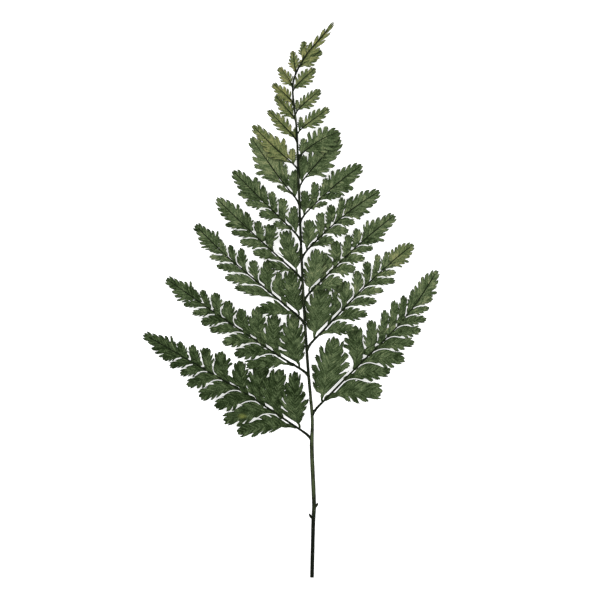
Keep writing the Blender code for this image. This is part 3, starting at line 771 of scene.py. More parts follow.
class BladeMaker:
    """Bends copies of the cut leaflets to their places on one side leaf, and joins them in one piece."""

    def __init__(self, cuts: dict[Kind, list[bpy.types.Object]], growth: Growth) -> None:
        """Keeps the cuts.

        Args:
            cuts: the flat blades of each kind.
            growth: how leaflets stand along a rib.
        """
        self.cuts = cuts
        self.growth = growth

    def size_of(self, rib: PlanLine) -> float:
        """How large the fine parts of a leaf are, against those of the longest leaves."""
        return min(1.0, 0.35 + rib.length / 180)

    def rib_height(self, leaf: SideLeaf, share: np.ndarray) -> np.ndarray:
        """Height of the leaf's rib over the floor, which droops from the midrib to the leaf's tip.

        Args:
            leaf: the side leaf.
            share: where along the rib.

        Returns:
            The heights, in millimetres.
        """
        start = eased_at(STALK_HEIGHT, leaf.root)
        end = self.growth.floor_gap + leaf.rest
        return end + (start - end) * (1 - share) ** 1.15

    def height(self, leaf: SideLeaf, share: np.ndarray, left: np.ndarray) -> np.ndarray:
        """Height of the leaf's surface: its upper half hangs and its lower half lifts over the next leaf.

        Args:
            leaf: the side leaf.
            share: where each point lies along the rib.
            left: how far each point lies to the rib's left.

        Returns:
            The heights over the floor, in millimetres.
        """
        rise = self.growth.tilt * left * leaf.side * np.minimum(1.0, share / 0.05)
        return self.rib_height(leaf, share) - rise

    def bend_copy(self, leaf: SideLeaf, rib: PlanLine, leaflet: Leaflet) -> bpy.types.Object:
        """Copies a cut leaflet and bends the copy to its place.

        Args:
            leaf: the side leaf that it grows on.
            rib: that leaf's rib.
            leaflet: the leaflet's place.

        Returns:
            The copy, with its own mesh.
        """
        cut = leaflet.chance.choice(self.cuts[leaflet.kind])
        copy = cut.copy()
        copy.data = cut.data.copy()
        copy.hide_render = False
        bpy.context.scene.collection.objects.link(copy)
        flat = np.empty(len(copy.data.vertices) * 3)
        copy.data.vertices.foreach_get("co", flat)
        flat = flat.reshape(-1, 3)
        plan = leaflet.plan(flat)
        share, left, to_left = rib.nearest(plan)
        if leaflet.bend:
            off = left * leaflet.turn
            slit = self.growth.upper_slit if leaflet.turn == leaf.side else self.growth.lower_slit
            fall = np.maximum(1 - self.growth.slit_fall * share, self.growth.slit_least)
            slit = slit * self.size_of(rib) * fall
            if leaflet.kind is Kind.WINGED:
                slit = slit * self.growth.winged_slit
            kept = soft_floor(off, slit, self.growth.slit_soft)
            root = np.clip(flat[:, 0] * leaflet.length / self.growth.slit_run, 0, 1)
            push = (kept - off) * root * (2 - root)
            plan = plan + to_left * (push * leaflet.turn)[:, None]
            left = left + push * leaflet.turn
        if leaflet.neighbour:
            plan = self.off_the_neighbour(leaflet, plan, flat, self.size_of(rib))
            share, left, _ = rib.nearest(plan)
        plan = self.off_the_midrib(leaf, plan, flat)
        across = flat[:, 1] * np.where(flat[:, 1] > 0, leaflet.half[0], leaflet.half[1])
        twist = self.growth.twist * across * np.clip(flat[:, 0] / 0.3, 0, 1) if leaflet.bend else 0.0
        z = self.height(leaf, share, left) + leaflet.relief(flat) + twist
        z = np.maximum(z, self.growth.floor_gap - 0.1)
        placed = np.column_stack([(plan - PLAN_ORIGIN) * MM, z * MM])
        copy.data.vertices.foreach_set("co", placed.ravel())
        self.mark(copy.data, flat, across, leaflet)
        return copy

    def off_the_neighbour(self, leaflet: Leaflet, plan: np.ndarray, flat: np.ndarray, size: float) -> np.ndarray:
        """Keeps a narrow band open between a leaflet and the foot of the next one.

        Args:
            leaflet: the leaflet.
            plan: its points in the plan.
            flat: the same points in the cut.
            size: how large the fine parts of the leaf are.

        Returns:
            The points, eased away from the next leaflet.
        """
        share, gap, to_left = leaflet.neighbour.nearest(plan)
        off = gap * leaflet.turn
        kept = soft_floor(off, self.growth.band * size, self.growth.band_soft)
        open_share = self.growth.winged_open if leaflet.kind is Kind.WINGED else 1.0
        weight = np.clip((open_share - share) / 0.25, 0, 1) * np.clip(flat[:, 1] / 0.2, 0, 1)
        return plan + to_left * ((kept - off) * weight * leaflet.turn)[:, None]

    def off_the_midrib(self, leaf: SideLeaf, plan: np.ndarray, flat: np.ndarray) -> np.ndarray:
        """Keeps a blade beside the midrib that its leaf grows from.

        Args:
            leaf: the side leaf.
            plan: the blade's points in the plan.
            flat: the same points in the cut.

        Returns:
            The points, eased away from the midrib.
        """
        centre = np.interp(plan[:, 1], STALK.points[:, 1], STALK.points[:, 0])
        off = leaf.side * (plan[:, 0] - centre)
        least = np.interp(plan[:, 1], (290, 350), (1.1, 0.2)) + (self.growth.parted_gap if leaf.parted else 0.0)
        kept = soft_floor(off, least, self.growth.midrib_soft)
        share = np.clip((flat[:, 0] - 0.02) / 0.08, 0, 1) * np.clip((plan[:, 1] - leaf.root) / 4, 0, 1)
        moved = plan.copy()
        moved[:, 0] += leaf.side * (kept - off) * share
        return moved

    def mark(self, mesh: bpy.types.Mesh, flat: np.ndarray, across: np.ndarray, leaflet: Leaflet) -> None:
        """Keeps what the finish reads: millimetres along and across the blade, its tone, and its rim.

        Args:
            mesh: the copy's mesh.
            flat: the points in the cut.
            across: how far each point lies from the leaflet's axis, in millimetres.
            leaflet: the leaflet.
        """
        corner = np.empty(len(mesh.loops), np.int32)
        mesh.loops.foreach_get("vertex_index", corner)
        uv = mesh.uv_layers.active or mesh.uv_layers.new(name="blade")
        uv.name = "blade"
        grid = np.column_stack([flat[:, 0] * leaflet.length, across])
        uv.data.foreach_set("uv", grid[corner].ravel())
        rim = rim_distance(mesh)
        marks = np.zeros((len(flat), 4))
        marks[:, 0] = leaflet.tone
        marks[:, 1] = rim
        marks[:, 2] = leaflet.chance.random()
        marks[:, 3] = 1.0
        attribute = mesh.color_attributes.new("marks", "FLOAT_COLOR", "POINT")
        attribute.data.foreach_set("color", marks.ravel())

    def row(
        self, leaf: SideLeaf, rib: PlanLine, turn: int, specs: tuple[tuple[float, float, float], ...],
        chance: random.Random,
    ) -> list[Leaflet]:
        """Sets out the free leaflets of one side of a rib.

        Args:
            leaf: the side leaf.
            rib: its rib.
            turn: 1 for the rib's left side and -1 for its right.
            specs: the leaflets' places, lengths and angles.
            chance: the leaf's own random draw.

        Returns:
            The leaflets.
        """
        growth, heading = self.growth, self.heading(leaf)
        upper = turn == leaf.side
        leaflets = []
        for k, (share, length, angle) in enumerate(specs):
            following = specs[k + 1][0] if k + 1 < len(specs) else max(leaf.end[0], share + 0.06)
            gap = (following - share) * rib.length
            before = (share - specs[k - 1][0]) * rib.length if k else gap
            if upper and not k and leaf.basal:
                before = (share - leaf.basal[0]) * rib.length
            spread = math.sin(math.radians(angle))
            fill = growth.upper_fill if upper else growth.lower_fill
            half = tuple(
                min(share_of * room * spread, most * length) * leaf.fullness
                for share_of, room, most in zip(fill, (gap, before), growth.widest)
            )
            if upper and share >= leaf.winged:
                kind = Kind.WINGED
            elif not upper and k == 0 and length > growth.deep_over:
                kind = Kind.DEEP
            elif length > growth.long_over:
                kind = Kind.LONG
            else:
                kind = Kind.MIDDLE if length > growth.middle_over else Kind.SHORT
            tone = leaf.tone + leaf.fade * share + chance.uniform(-growth.own_tone, growth.own_tone)
            angle += chance.uniform(-growth.own_turn, growth.own_turn)
            start = min(growth.start, 0.6 * angle)
            leaflets.append(Leaflet(kind, rib.at(share)[0], heading, turn, length, half, angle, start, tone, chance))
        for leaflet, following in zip(leaflets, leaflets[1:]):
            if leaflet.bend < growth.crowded:
                leaflet.neighbour = following.rootward_line()
        return leaflets

    @staticmethod
    def heading(leaf: SideLeaf) -> float:
        """The direction from a leaf's root to its tip, in radians."""
        way = np.array(leaf.tip) - STALK.at_height(leaf.root)
        return math.atan2(way[1], way[0])

    def leaflets(self, leaf: SideLeaf, rib: PlanLine) -> list[Leaflet]:
        """Sets out every leaflet of a side leaf, and the blade at its end.

        Args:
            leaf: the side leaf.
            rib: its rib.

        Returns:
            The leaflets, from those that lie lowest.
        """
        chance = random.Random(f"{SEED}{leaf.name}")
        made = []
        above = self.row(leaf, rib, leaf.side, leaf.up, chance)
        if leaf.basal:
            share, length, angle, tipward, rootward, *first = leaf.basal
            kind = Kind.BASAL if length > self.growth.basal_over else Kind.BROAD
            start = first[0] if first else 0.7 * angle
            basal = Leaflet(kind, rib.at(share)[0], self.heading(leaf), leaf.side, length, (tipward, rootward), angle,
                            start, leaf.tone, chance)
            if above and leaf.parted:
                basal.neighbour = above[0].rootward_line()
            made.append(basal)
        made += above + self.row(leaf, rib, -leaf.side, leaf.down, chance)
        share, half = leaf.end
        root, _ = rib.at(share)
        way = np.array(leaf.tip) - root
        kind = Kind.END if leaf.down else Kind.SIMPLE
        half *= self.growth.end_width
        tone = leaf.tone + leaf.fade + self.growth.end_tone
        heading = math.atan2(way[1], way[0])
        made.append(Leaflet(kind, root, heading, 1, float(np.hypot(*way)), (half, half), 0.0, 0.0, tone, chance))
        return made

    def build(self, leaf: SideLeaf) -> bpy.types.Object:
        """Builds all blades of a side leaf as one piece.

        Args:
            leaf: the side leaf.

        Returns:
            The piece.
        """
        rib = leaf.rib()
        copies = [self.bend_copy(leaf, rib, leaflet) for leaflet in self.leaflets(leaf, rib)]
        return finish_blades(f"blades_{leaf.name}", copies, self.growth.blade)


# How far inside a blade its distance to the margin is measured, in millimetres.
RIM_LIMIT = 4.0
# The angles up to which blades and rods are shaded smooth.
BLADE_SMOOTH = 50
ROD_SMOOTH = 60


def rim_distance(mesh: bpy.types.Mesh) -> np.ndarray:
    """Measures how far each point of a blade lies inside its margin.

    Args:
        mesh: the open blade, bent to its place.

    Returns:
        The distances, in millimetres, up to RIM_LIMIT.
    """
    shape = bmesh.new()
    shape.from_mesh(mesh)
    tree = KDTree(sum(v.is_boundary for v in shape.verts))
    for vert in shape.verts:
        if vert.is_boundary:
            tree.insert(vert.co, vert.index)
    tree.balance()
    found = np.array([tree.find(vert.co)[2] / MM for vert in shape.verts])
    shape.free()
    return np.minimum(found, RIM_LIMIT)


def finish_blades(name: str, copies: list[bpy.types.Object], thick: float) -> bpy.types.Object:
    """Joins bent leaflets, gives them their thickness and shades them.

    Args:
        name: the piece's name.
        copies: the leaflets.
        thick: the blade's thickness, in millimetres.

    Returns:
        The piece.
    """
    piece = joined(name, copies)
    apply_modifier(piece, "SOLIDIFY", thickness=thick * MM, offset=0.0)
    shade(piece, BLADE_SMOOTH)
    return piece


@dataclass(frozen=True)
class RibMaker:
    """Makes stalks and ribs as one tapered rod that is bent along its line."""

    sides: int = 12

    def rod(self, name: str, path: np.ndarray, radius: np.ndarray, groove: float = 0.0) -> bpy.types.Object:
        """Models a rod: a disc that is drawn out ring by ring along its path.

        Args:
            name: the piece's name.
            path: the rod's points, one (x, y, z) row each, in millimetres in the plan.
            radius: its half thickness at each point.
            groove: how deep the groove along its upper side is, as a share of the radius.

        Returns:
            The rod.
        """
        ways = np.gradient(path, axis=0)
        ways /= np.linalg.norm(ways, axis=1)[:, None]
        bpy.ops.mesh.primitive_circle_add(vertices=self.sides, radius=1.0, fill_type="NGON")
        obj = bpy.context.object
        obj.name = obj.data.name = name
        hand = Hand(obj)
        for _ in range(len(path) - 1):
            bpy.ops.mesh.extrude_region_move(TRANSFORM_OT_translate={"value": (0.0, 0.0, 1.0)})
        hand.close()
        flat = np.empty(len(obj.data.vertices) * 3)
        obj.data.vertices.foreach_get("co", flat)
        flat = flat.reshape(-1, 3)
        ring = np.clip(np.rint(flat[:, 2]).astype(int), 0, len(path) - 1)
        angle = np.arctan2(flat[:, 1], flat[:, 0])
        across = np.stack([ways[:, 1], -ways[:, 0], np.zeros(len(ways))], 1)
        across /= np.linalg.norm(across, axis=1)[:, None]
        up = np.cross(across, ways)
        size = radius[ring] * np.hypot(flat[:, 0], flat[:, 1])
        top = np.maximum(np.sin(angle), 0) ** 8
        rise = np.sin(angle) * (1 - groove * top)
        placed = path[ring] + across[ring] * (np.cos(angle) * size)[:, None] + up[ring] * (rise * size)[:, None]
        placed[:, :2] -= PLAN_ORIGIN
        placed[:, 2] = np.maximum(placed[:, 2], 0.02)
        obj.data.vertices.foreach_set("co", (placed * MM).ravel())
        shade(obj, ROD_SMOOTH)
        return obj


Socket = bpy.types.NodeSocket


class Bench:
    """Sets out and links the nodes of one tree."""

    def __init__(self, tree: bpy.types.NodeTree) -> None:
        """Takes the tree.

        Args:
            tree: the nodes' tree.
        """
        self.tree = tree

    def node(self, kind: str, **values: object) -> bpy.types.Node:
        """Adds a node and sets its fields.

        Args:
            kind: the node's type.
            values: its fields.

        Returns:
            The node.
        """
        made = self.tree.nodes.new(kind)
        for name, value in values.items():
            setattr(made, name, value)
        return made

    def link(self, out: Socket, into: Socket) -> None:
        """Links two sockets."""
        self.tree.links.new(out, into)

    def feed(self, sockets: tuple[Socket, ...], values: tuple[object, ...]) -> None:
        """Gives each socket its link or its plain value.

        Args:
            sockets: the sockets.
            values: a socket, a number or a colour for each.
        """
        for socket, value in zip(sockets, values):
            if isinstance(value, Socket):
                self.link(value, socket)
            else:
                socket.default_value = value

    def math(self, operation: str, a: object, b: object = 0.0, c: object = 0.0) -> Socket:
        """Adds a Math node.

        Args:
            operation: what it does.
            a: the first socket or number.
            b: the second.
            c: the third.

        Returns:
            Its result.
        """
        made = self.node("ShaderNodeMath", operation=operation)
        self.feed(made.inputs, (a, b, c))
        return made.outputs[0]

    def clamp(self, value: Socket) -> Socket:
        """Keeps a value from 0 to 1."""
        return self.math("MINIMUM", self.math("MAXIMUM", value, 0.0), 1.0)

    def over_zero(self, value: Socket, gain: float) -> Socket:
        """What a value has over zero, times a gain."""
        return self.math("MULTIPLY", self.math("MAXIMUM", value, 0.0), gain)

    def fading(self, distance: Socket, reach: object, strength: float) -> Socket:
        """How strongly a mark shows at a distance from its middle.

        Args:
            distance: the distance.
            reach: where it is gone, as a socket or a number.
            strength: how strong it is in its middle.

        Returns:
            The strength there.
        """
        return self.over_zero(self.math("SUBTRACT", 1.0, self.math("DIVIDE", distance, reach)), strength)

    def swing(self, value: Socket, gain: float, base: object) -> Socket:
        """Makes a value that swings about a half swing about another.

        Args:
            value: the value.
            gain: how much wider it swings.
            base: what it swings about, as a socket or a number.

        Returns:
            The new value.
        """
        return self.math("MULTIPLY_ADD", self.math("SUBTRACT", value, 0.5), gain, base)

    def place(self) -> Socket:
        """The place on the object, in metres."""
        return self.node("ShaderNodeTexCoord").outputs["Object"]

    def parts(self, vector: Socket) -> tuple[Socket, Socket, Socket]:
        """Splits a vector in its three numbers.

        Args:
            vector: the vector.

        Returns:
            Its x, y and z.
        """
        made = self.node("ShaderNodeSeparateXYZ")
        self.link(vector, made.inputs[0])
        return tuple(made.outputs)

    def facing(self, axis: int = 2) -> Socket:
        """How far the surface faces along an axis, from -1 to 1.

        Args:
            axis: 0 for X, 1 for Y and 2 for up.

        Returns:
            The normal's share along the axis.
        """
        return self.parts(self.node("ShaderNodeTexCoord").outputs["Normal"])[axis]

    def noise(self, vector: Socket, scale: object, detail: float = 2.0) -> Socket:
        """Adds a noise.

        Args:
            vector: what it reads.
            scale: its scale, as a socket or a number.
            detail: how many finer layers it has.

        Returns:
            Its value, about a half.
        """
        made = self.node("ShaderNodeTexNoise")
        self.feed((made.inputs["Vector"], made.inputs["Scale"], made.inputs["Detail"]), (vector, scale, detail))
        return made.outputs["Fac"]


class Finish(Bench):
    """Builds a Principled material from its nodes."""

    def __init__(self, name: str) -> None:
        """Starts the material.

        Args:
            name: the material's name.
        """
        self.material = bpy.data.materials.new(name)
        self.material.use_nodes = True
        super().__init__(self.material.node_tree)
        self.shader = self.tree.nodes["Principled BSDF"]

    def mix(self, share: object, a: object, b: object, blend: str = "MIX") -> Socket:
        """Mixes two colours.

        Args:
            share: how much of the second shows, as a socket or a number.
            a: the first colour.
            b: the second colour.
            blend: how they mix.

        Returns:
            The colour.
        """
        made = self.node("ShaderNodeMix", data_type="RGBA", blend_type=blend)
        self.feed((made.inputs[0], made.inputs[6], made.inputs[7]), (share, a, b))
        return made.outputs[2]

    def ramp(self, value: Socket, stops: tuple[tuple[float, Color], ...]) -> Socket:
        """Adds a colour ramp.

        Args:
            value: what it reads.
            stops: its stops, from the first to the last.

        Returns:
            The colour.
        """
        made = self.node("ShaderNodeValToRGB")
        ends = made.color_ramp.elements
        (ends[0].position, ends[0].color), (ends[1].position, ends[1].color) = stops[0], stops[-1]
        for position, color in stops[1:-1]:
            ends.new(position).color = color
        self.link(value, made.inputs[0])
        return made.outputs[0]

    def mottle(self, group: bpy.types.NodeTree, size: float, sharpness: float = 3.0) -> tuple[Socket, Socket]:
        """Adds the drying blotches.

        Args:
            group: their node group.
            size: blotches a metre.
            sharpness: how sharp their edges are.

        Returns:
            The blotches and the fine grain.
        """
        made = self.node("ShaderNodeGroup", node_tree=group)
        made.inputs["Size"].default_value = size
        made.inputs["Sharpness"].default_value = sharpness
        return made.outputs["Mask"], made.outputs["Grain"]

    def skin(self, color: Socket, grain: Socket, roughness: float, waver: float) -> None:
        """Gives the shader its colour, a roughness that wavers with the grain, and hardly any gloss.

        Args:
            color: the colour.
            grain: the fine grain.
            roughness: the middle roughness.
            waver: how far the grain changes it.
        """
        self.link(color, self.shader.inputs["Base Color"])
        self.link(self.math("MULTIPLY_ADD", grain, waver, roughness - waver / 2), self.shader.inputs["Roughness"])
        self.shader.inputs["Specular IOR Level"].default_value = 0.05

    def bump(self, height: Socket, strength: float, distance: float) -> None:
        """Raises the surface a little.

        Args:
            height: how high it is raised.
            strength: how much of that shows.
            distance: how far one unit of height goes, in metres.
        """
        made = self.node("ShaderNodeBump")
        made.inputs["Strength"].default_value = strength
        made.inputs["Distance"].default_value = distance
        self.link(height, made.inputs["Height"])
        self.link(made.outputs[0], self.shader.inputs["Normal"])


def mottle_group() -> bpy.types.NodeTree:
    """Makes the node group of soft blotches that leaf and stalk dry with.

    Returns:
        The group, with Size in blotches a metre and Sharpness, and the outputs Mask and Grain.
    """
    group = bpy.data.node_groups.new("drying_mottle", "ShaderNodeTree")
    for name, default in (("Size", 160.0), ("Sharpness", 3.0)):
        socket = group.interface.new_socket(name, in_out="INPUT", socket_type="NodeSocketFloat")
        socket.default_value = default
    for name in ("Mask", "Grain"):
        group.interface.new_socket(name, in_out="OUTPUT", socket_type="NodeSocketFloat")
    bench = Bench(group)
    start, end = bench.node("NodeGroupInput"), bench.node("NodeGroupOutput")
    place = bench.place()
    blotches = bench.noise(place, start.outputs["Size"], 3.0)
    mask = bench.swing(blotches, start.outputs["Sharpness"], 0.5)
    mask.node.use_clamp = True
    bench.link(mask, end.inputs["Mask"])
    bench.link(bench.noise(place, 1400.0), end.inputs["Grain"])
    return group


@dataclass(frozen=True)
class BladeFinish:
    """The dry, dark olive skin of the leaflets, with veins that lean to each leaflet's tip.

    Lengths along and across a leaflet, to its rim and between its veins are in millimetres.
    """

    # The lighter, greyer stops are partly the leaf's own tone and partly a painted sheen.
    shades: tuple[tuple[float, Color], ...] = (
        (0.0, (0.006, 0.013, 0.002, 1.0)),
        (0.32, (0.033, 0.052, 0.019, 1.0)),
        (0.68, (0.092, 0.124, 0.057, 1.0)),
        (1.0, (0.200, 0.215, 0.105, 1.0)),
    )
    vein: Color = (0.006, 0.013, 0.003, 1.0)
    # Painted shade: the near black band along each margin, as if its curled edge lay in shade.
    rim: Color = (0.006, 0.013, 0.003, 1.0)
    warmth: Color = (1.12, 1.0, 0.74, 1.0)
    underside: Color = (0.165, 0.190, 0.110, 1.0)
    yellow: Color = (0.165, 0.190, 0.048, 1.0)
    yellow_place: tuple[float, float, float] = (-0.0388, -0.0928, 0.004)
    yellow_scale: tuple[float, float, float] = (315.0, 525.0, 210.0)
    roughness: float = 0.72
    base_shade: float = 0.24
    streaks: float = 1.75
    flecks: float = 1.3
    blotches: float = 0.34
    own_shade: float = 0.14
    tone_shade: float = 0.56
    rim_shade_width: float = 0.55
    vein_width: float = 0.18
    vein_spacing: float = 1.7
    vein_lean: float = 1.35

    def make(self, mottle: bpy.types.NodeTree) -> bpy.types.Material:
        """Builds the material.

        Args:
            mottle: the node group of drying blotches.

        Returns:
            The material.
        """
        finish = Finish("leaflet_skin")
        marks = finish.node("ShaderNodeAttribute", attribute_name="marks", attribute_type="GEOMETRY")
        split = finish.node("ShaderNodeSeparateColor")
        finish.link(marks.outputs["Color"], split.inputs[0])
        tone, rim, own = split.outputs
        grid = finish.node("ShaderNodeUVMap", uv_map="blade").outputs[0]
        along, side, _ = finish.parts(grid)
        across = finish.math("ABSOLUTE", side)
        blotch, grain = finish.mottle(mottle, 170.0)

        lean = finish.math("MULTIPLY_ADD", across, -self.vein_lean, along)
        lean = finish.math("MULTIPLY_ADD", finish.noise(grid, 0.45), 1.1, lean)
        wave = finish.math("PINGPONG", finish.math("DIVIDE", lean, self.vein_spacing), 0.5)
        wide = finish.math("MAXIMUM", finish.math("MULTIPLY_ADD", along, -0.012, 0.46), 0.20)
        costule = finish.math("MINIMUM", finish.fading(across, wide, 1.8), 1.0)
        veins = finish.math("MAXIMUM", finish.fading(wave, self.vein_width, 0.60), costule)

        strand = finish.node("ShaderNodeCombineXYZ")
        for value, scale, socket in zip((lean, side, own), (1.05, 0.22, 40.0), strand.inputs):
            finish.link(finish.math("MULTIPLY", value, scale), socket)
        # Streaks that lean along the veins: partly the leaf's own mottling, partly painted sheen and shade of the
        # ridges between the veins.
        streak = finish.noise(strand.outputs[0], 1.0, 3.0)
        fleck = finish.noise(grid, 1.1, 4.0)
        shade: object = self.base_shade
        for source, reach in (
            (streak, self.streaks), (fleck, self.flecks), (blotch, self.blotches), (own, self.own_shade),
        ):
            shade = finish.swing(source, reach, shade)
        shade = finish.clamp(finish.math("MULTIPLY_ADD", tone, self.tone_shade, shade))
        warm = finish.clamp(finish.math("MULTIPLY_ADD", tone, 1.8, -0.85))
        skin = finish.mix(warm, finish.ramp(shade, self.shades), self.warmth, "MULTIPLY")

        spot = finish.node("ShaderNodeMapping")
        spot.inputs["Location"].default_value = [
            -place * scale for place, scale in zip(self.yellow_place, self.yellow_scale)
        ]
        spot.inputs["Scale"].default_value = self.yellow_scale
        finish.link(finish.place(), spot.inputs["Vector"])
        reach = finish.node("ShaderNodeVectorMath", operation="LENGTH")
        finish.link(spot.outputs[0], reach.inputs[0])
        away = finish.swing(streak, 2.4, reach.outputs["Value"])
        near = finish.over_zero(finish.math("SUBTRACT", 1.3, away), 0.8)
        skin = finish.mix(finish.math("MINIMUM", near, 0.62), skin, self.yellow)

        # Painted shade: darkens a narrow band along every margin, as if the curled lobe edges lay in shade.
        skin = finish.mix(finish.fading(rim, self.rim_shade_width, 0.8), skin, self.rim)
        skin = finish.mix(finish.math("MULTIPLY", veins, 0.68), skin, self.vein)
        below = finish.over_zero(finish.math("MULTIPLY", finish.facing(), -1.0), 0.5)
        finish.skin(finish.mix(below, skin, self.underside), grain, self.roughness, 0.16)
        height = finish.math("MULTIPLY_ADD", veins, -0.6, finish.math("MULTIPLY", wave, 1.2))
        finish.bump(finish.math("MULTIPLY_ADD", grain, 0.25, height), 0.55, 0.00022)
        return finish.material


@dataclass(frozen=True)
class StemFinish:
    """The stalk's skin: near black at the cut end, mid green above, and near black again along the midrib."""

    name: str = "stalk_skin"
    foot: Color = (0.0015, 0.003, 0.001, 1.0)
    green: Color = (0.040, 0.054, 0.022, 1.0)
    ribs: Color = (0.004, 0.008, 0.002, 1.0)
    # pale: the colour of the fibre streaks, partly the stalk's own striations and partly a painted highlight.
    pale: Color = (0.120, 0.140, 0.075, 1.0)
    cut_face: Color = (0.330, 0.300, 0.190, 1.0)
    half_length: float = 0.2224
    fibre_scale: tuple[float, float, float] = (2200.0, 60.0, 2200.0)
    roughness: float = 0.55

    def make(self, mottle: bpy.types.NodeTree) -> bpy.types.Material:
        """Builds the material.

        Args:
            mottle: the node group of drying blotches.

        Returns:
            The material.
        """
        finish = Finish(self.name)
        place = finish.place()
        height = finish.node("ShaderNodeMapRange")
        height.inputs["From Min"].default_value = -self.half_length
        height.inputs["From Max"].default_value = self.half_length
        finish.link(finish.parts(place)[1], height.inputs["Value"])
        skin = finish.ramp(height.outputs[0], (
            (0.02, self.foot), (0.10, self.foot), (0.17, self.green), (0.27, self.green), (0.38, self.ribs),
        ))
        blotch, grain = finish.mottle(mottle, 130.0, 5.0)
        stretch = finish.node("ShaderNodeMapping")
        stretch.inputs["Scale"].default_value = self.fibre_scale
        finish.link(place, stretch.inputs["Vector"])
        fibre = finish.noise(stretch.outputs[0], 1.0)
        # Pale streaks along the fibres: partly the stalk's own fine striations, partly a painted highlight.
        striation_and_highlight = finish.over_zero(finish.math("SUBTRACT", fibre, 0.50), 2.2)
        above = finish.math("MINIMUM", finish.math("MULTIPLY_ADD", height.outputs[0], 6.0, -0.3), 1.0)
        striation_and_highlight = finish.math("MULTIPLY", striation_and_highlight, finish.math("MAXIMUM", above, 0.1))
        skin = finish.mix(striation_and_highlight, skin, self.pale)
        skin = finish.mix(finish.math("MULTIPLY", blotch, 0.72), skin, self.foot)
        # Painted shade: the sides of the stalk and ribs, which face neither up nor down, are darkened toward near
        # black.
        flank = finish.math("SUBTRACT", 1.0, finish.math("ABSOLUTE", finish.facing()))
        skin = finish.mix(finish.math("MINIMUM", finish.math("MULTIPLY", flank, 2.6), 0.95), skin, self.foot)
        cut = finish.math("SUBTRACT", finish.math("MULTIPLY", finish.facing(1), -1.0), 0.9)
        skin = finish.mix(finish.clamp(finish.math("MULTIPLY", cut, 12.0)), skin, self.cut_face)
        finish.skin(skin, grain, self.roughness, 0.2)
        finish.bump(fibre, 0.5, 0.0003)
        return finish.material


class FernFrond:
    """The whole frond: its stalk and midrib, and the rib and blades of each side leaf."""

    def __init__(self) -> None:
        """Cuts the leaflets and makes the finishes."""
        self.growth = Growth()
        mottle = mottle_group()
        self.skin = BladeFinish().make(mottle)
        self.stem = StemFinish().make(mottle)
        # The ribs' pale streaks are likewise partly a painted highlight.
        self.ribs = StemFinish("rib_skin", green=StemFinish.ribs, pale=(0.040, 0.052, 0.022, 1.0)).make(mottle)
        self.cuts = {kind: [kind.value.cut(seed) for seed in range(VARIANTS)] for kind in Kind}
        self.blades = BladeMaker(self.cuts, self.growth)
        self.rods = RibMaker()

    def hold(self, piece: bpy.types.Object, material: bpy.types.Material) -> None:
        """Gives a piece its finish, says what it rides on, and hides the frond's CAD node.

        Args:
            piece: the piece.
            material: its finish.
        """
        piece.data.materials.clear()
        piece.data.materials.append(material)
        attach(piece, BODY)
        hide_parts(NODE)
        LOG.info("%s: %d faces", piece.name, len(piece.data.polygons))

    def stalk(self) -> bpy.types.Object:
        """Makes the stalk and midrib, with a shallow groove along its upper side.

        Returns:
            The piece.
        """
        shares = np.linspace(0, 1, 90)
        plan = np.array([STALK.at(share)[0] for share in shares])
        height = np.array([eased_at(STALK_HEIGHT, y) for y in plan[:, 1]])
        radius = table_at(STALK_RADIUS, plan[:, 1])
        return self.rods.rod("stalk", np.column_stack([plan, height]), radius, groove=0.16)

    def scars(self) -> bpy.types.Object:
        """Makes the two short stubs where scales broke off the stalk.

        Returns:
            Both, as one piece.
        """
        stubs = []
        for side, y, long, half in SCARS:
            foot = STALK.at_height(y)
            height = eased_at(STALK_HEIGHT, y) + 0.2
            reach = np.linspace(0, 1, 7)
            path = np.column_stack([
                foot[0] + side * (0.5 + long * reach**0.8), foot[1] + 1.1 * long * reach**1.5, height + 0.5 * reach,
            ])
            stubs.append(self.rods.rod(f"scar_{y:.0f}", path, half * (1 - 0.62 * reach**3)))
        return joined("scars", stubs)

    def rib(self, leaf: SideLeaf) -> bpy.types.Object:
        """The rib of one side leaf, from inside the midrib to near the leaf's tip.

        Args:
            leaf: the side leaf.

        Returns:
            The piece.
        """
        line, growth = leaf.rib(), self.growth
        shares = np.linspace(0.0, growth.rib_end, max(8, round(line.length / growth.rib_step)))
        plan = np.array([line.at(share)[0] for share in shares])
        size = self.blades.size_of(line)
        flare = growth.rib_flare * np.exp(-shares * line.length / growth.rib_flare_run)
        radius = growth.rib_half_width * size * (1 - growth.rib_taper * shares + flare)
        height = self.blades.rib_height(leaf, shares) + 0.10
        return self.rods.rod(f"rib_{leaf.name}", np.column_stack([plan, height]), radius)

    def tip(self) -> bpy.types.Object:
        """Makes the lobed blade round the last of the midrib.

        Returns:
            The piece.
        """
        root, apex = STALK.at_height(TIP_FOOT), np.array(TIP_APEX)
        way = apex - root
        length = float(np.hypot(*way))
        chance = random.Random(SEED)
        leaflet = Leaflet(Kind.TIP, root, math.atan2(way[1], way[0]), 1, length, (6.4, 6.4), 0.0, 0.0, 0.9, chance)
        leaf = SideLeaf("tip", 0, TIP_FOOT, TIP_APEX, 0.0, 0.0, 0.0, 0.9, (0.0, 4.8))
        copy = self.blades.bend_copy(leaf, PlanLine(np.array([root, apex])), leaflet)
        return finish_blades("blades_tip", [copy], self.growth.blade)

    def build(self) -> None:
        """Builds every piece, and removes the flat cuts."""
        self.hold(self.stalk(), self.stem)
        self.hold(self.scars(), self.stem)
        for leaf in LEAVES:
            self.hold(self.rib(leaf), self.ribs)
            self.hold(self.blades.build(leaf), self.skin)
        self.hold(self.tip(), self.skin)
        for cut in (cut for variants in self.cuts.values() for cut in variants):
            bpy.data.objects.remove(cut)


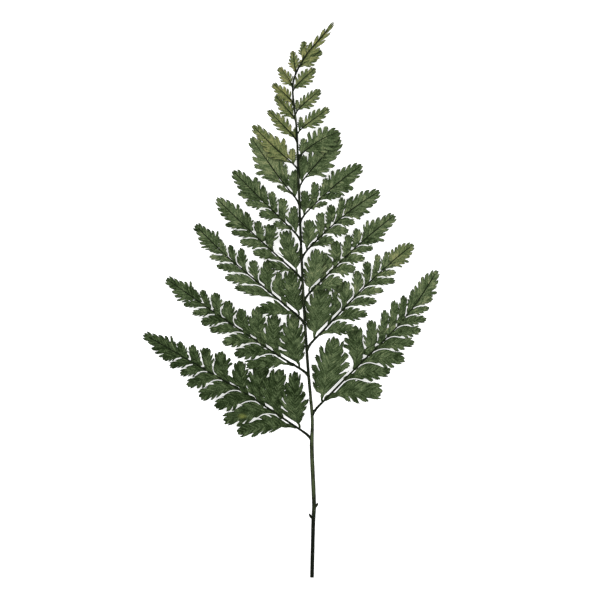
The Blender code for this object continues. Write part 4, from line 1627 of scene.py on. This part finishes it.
@dataclass(frozen=True)
class Studio:
    """A pale floor, soft light and a camera straight above."""

    frame_width: float = 0.480
    frame_middle: tuple[float, float] = (0.00765, 0.0)
    camera_height: float = 2.4
    sensor: float = 36.0

    def floor(self) -> None:
        """Lays the pale floor."""
        bpy.ops.mesh.primitive_plane_add(size=6.0, location=(0.0, 0.0, -0.0002))
        floor = bpy.context.object
        floor.name = "floor"
        finish = Finish("white_ground")
        finish.shader.inputs["Base Color"].default_value = (0.80, 0.80, 0.80, 1.0)
        finish.shader.inputs["Emission Color"].default_value = (1.0, 1.0, 1.0, 1.0)
        finish.shader.inputs["Emission Strength"].default_value = 0.62
        finish.shader.inputs["Roughness"].default_value = 0.9
        finish.shader.inputs["Specular IOR Level"].default_value = 0.1
        floor.data.materials.append(finish.material)

    def lights(self) -> None:
        """Hangs three broad lights and lifts the shadows with a white sky."""
        for name, place, size, power in (
            ("key", (-0.9, 0.7, 1.5), 1.1, 26.0),
            ("fill", (1.1, -0.3, 1.4), 1.3, 17.0),
            ("low", (0.1, -1.3, 1.1), 1.2, 9.0),
        ):
            data = bpy.data.lights.new(name, "AREA")
            data.size, data.energy = size, power
            light = bpy.data.objects.new(name, data)
            light.location = place
            light.rotation_euler = (-Vector(place)).to_track_quat("-Z", "Y").to_euler()
            bpy.context.scene.collection.objects.link(light)
        world = bpy.data.worlds.new("white_room")
        world.use_nodes = True
        world.node_tree.nodes["Background"].inputs[0].default_value = (1.0, 1.0, 1.0, 1.0)
        world.node_tree.nodes["Background"].inputs[1].default_value = 0.55
        bpy.context.scene.world = world

    def camera(self) -> None:
        """Sets the camera straight above the frond."""
        data = bpy.data.cameras.new("above")
        data.sensor_width = self.sensor
        data.lens = self.sensor * self.camera_height / self.frame_width
        data.clip_end = 10.0
        camera = bpy.data.objects.new("above", data)
        camera.location = (*self.frame_middle, self.camera_height + 0.005)
        bpy.context.scene.collection.objects.link(camera)
        bpy.context.scene.camera = camera
        bpy.context.scene.view_settings.view_transform = "Standard"

    def build(self) -> None:
        """Builds the floor, the lights and the camera."""
        self.floor()
        self.lights()
        self.camera()


def main() -> None:
    """Builds the frond and the studio."""
    logging.basicConfig(level=logging.INFO, format="%(message)s")
    bpy.ops.object.select_all(action="DESELECT")
    FernFrond().build()
    Studio().build()


if __name__ == "__main__":
    main()
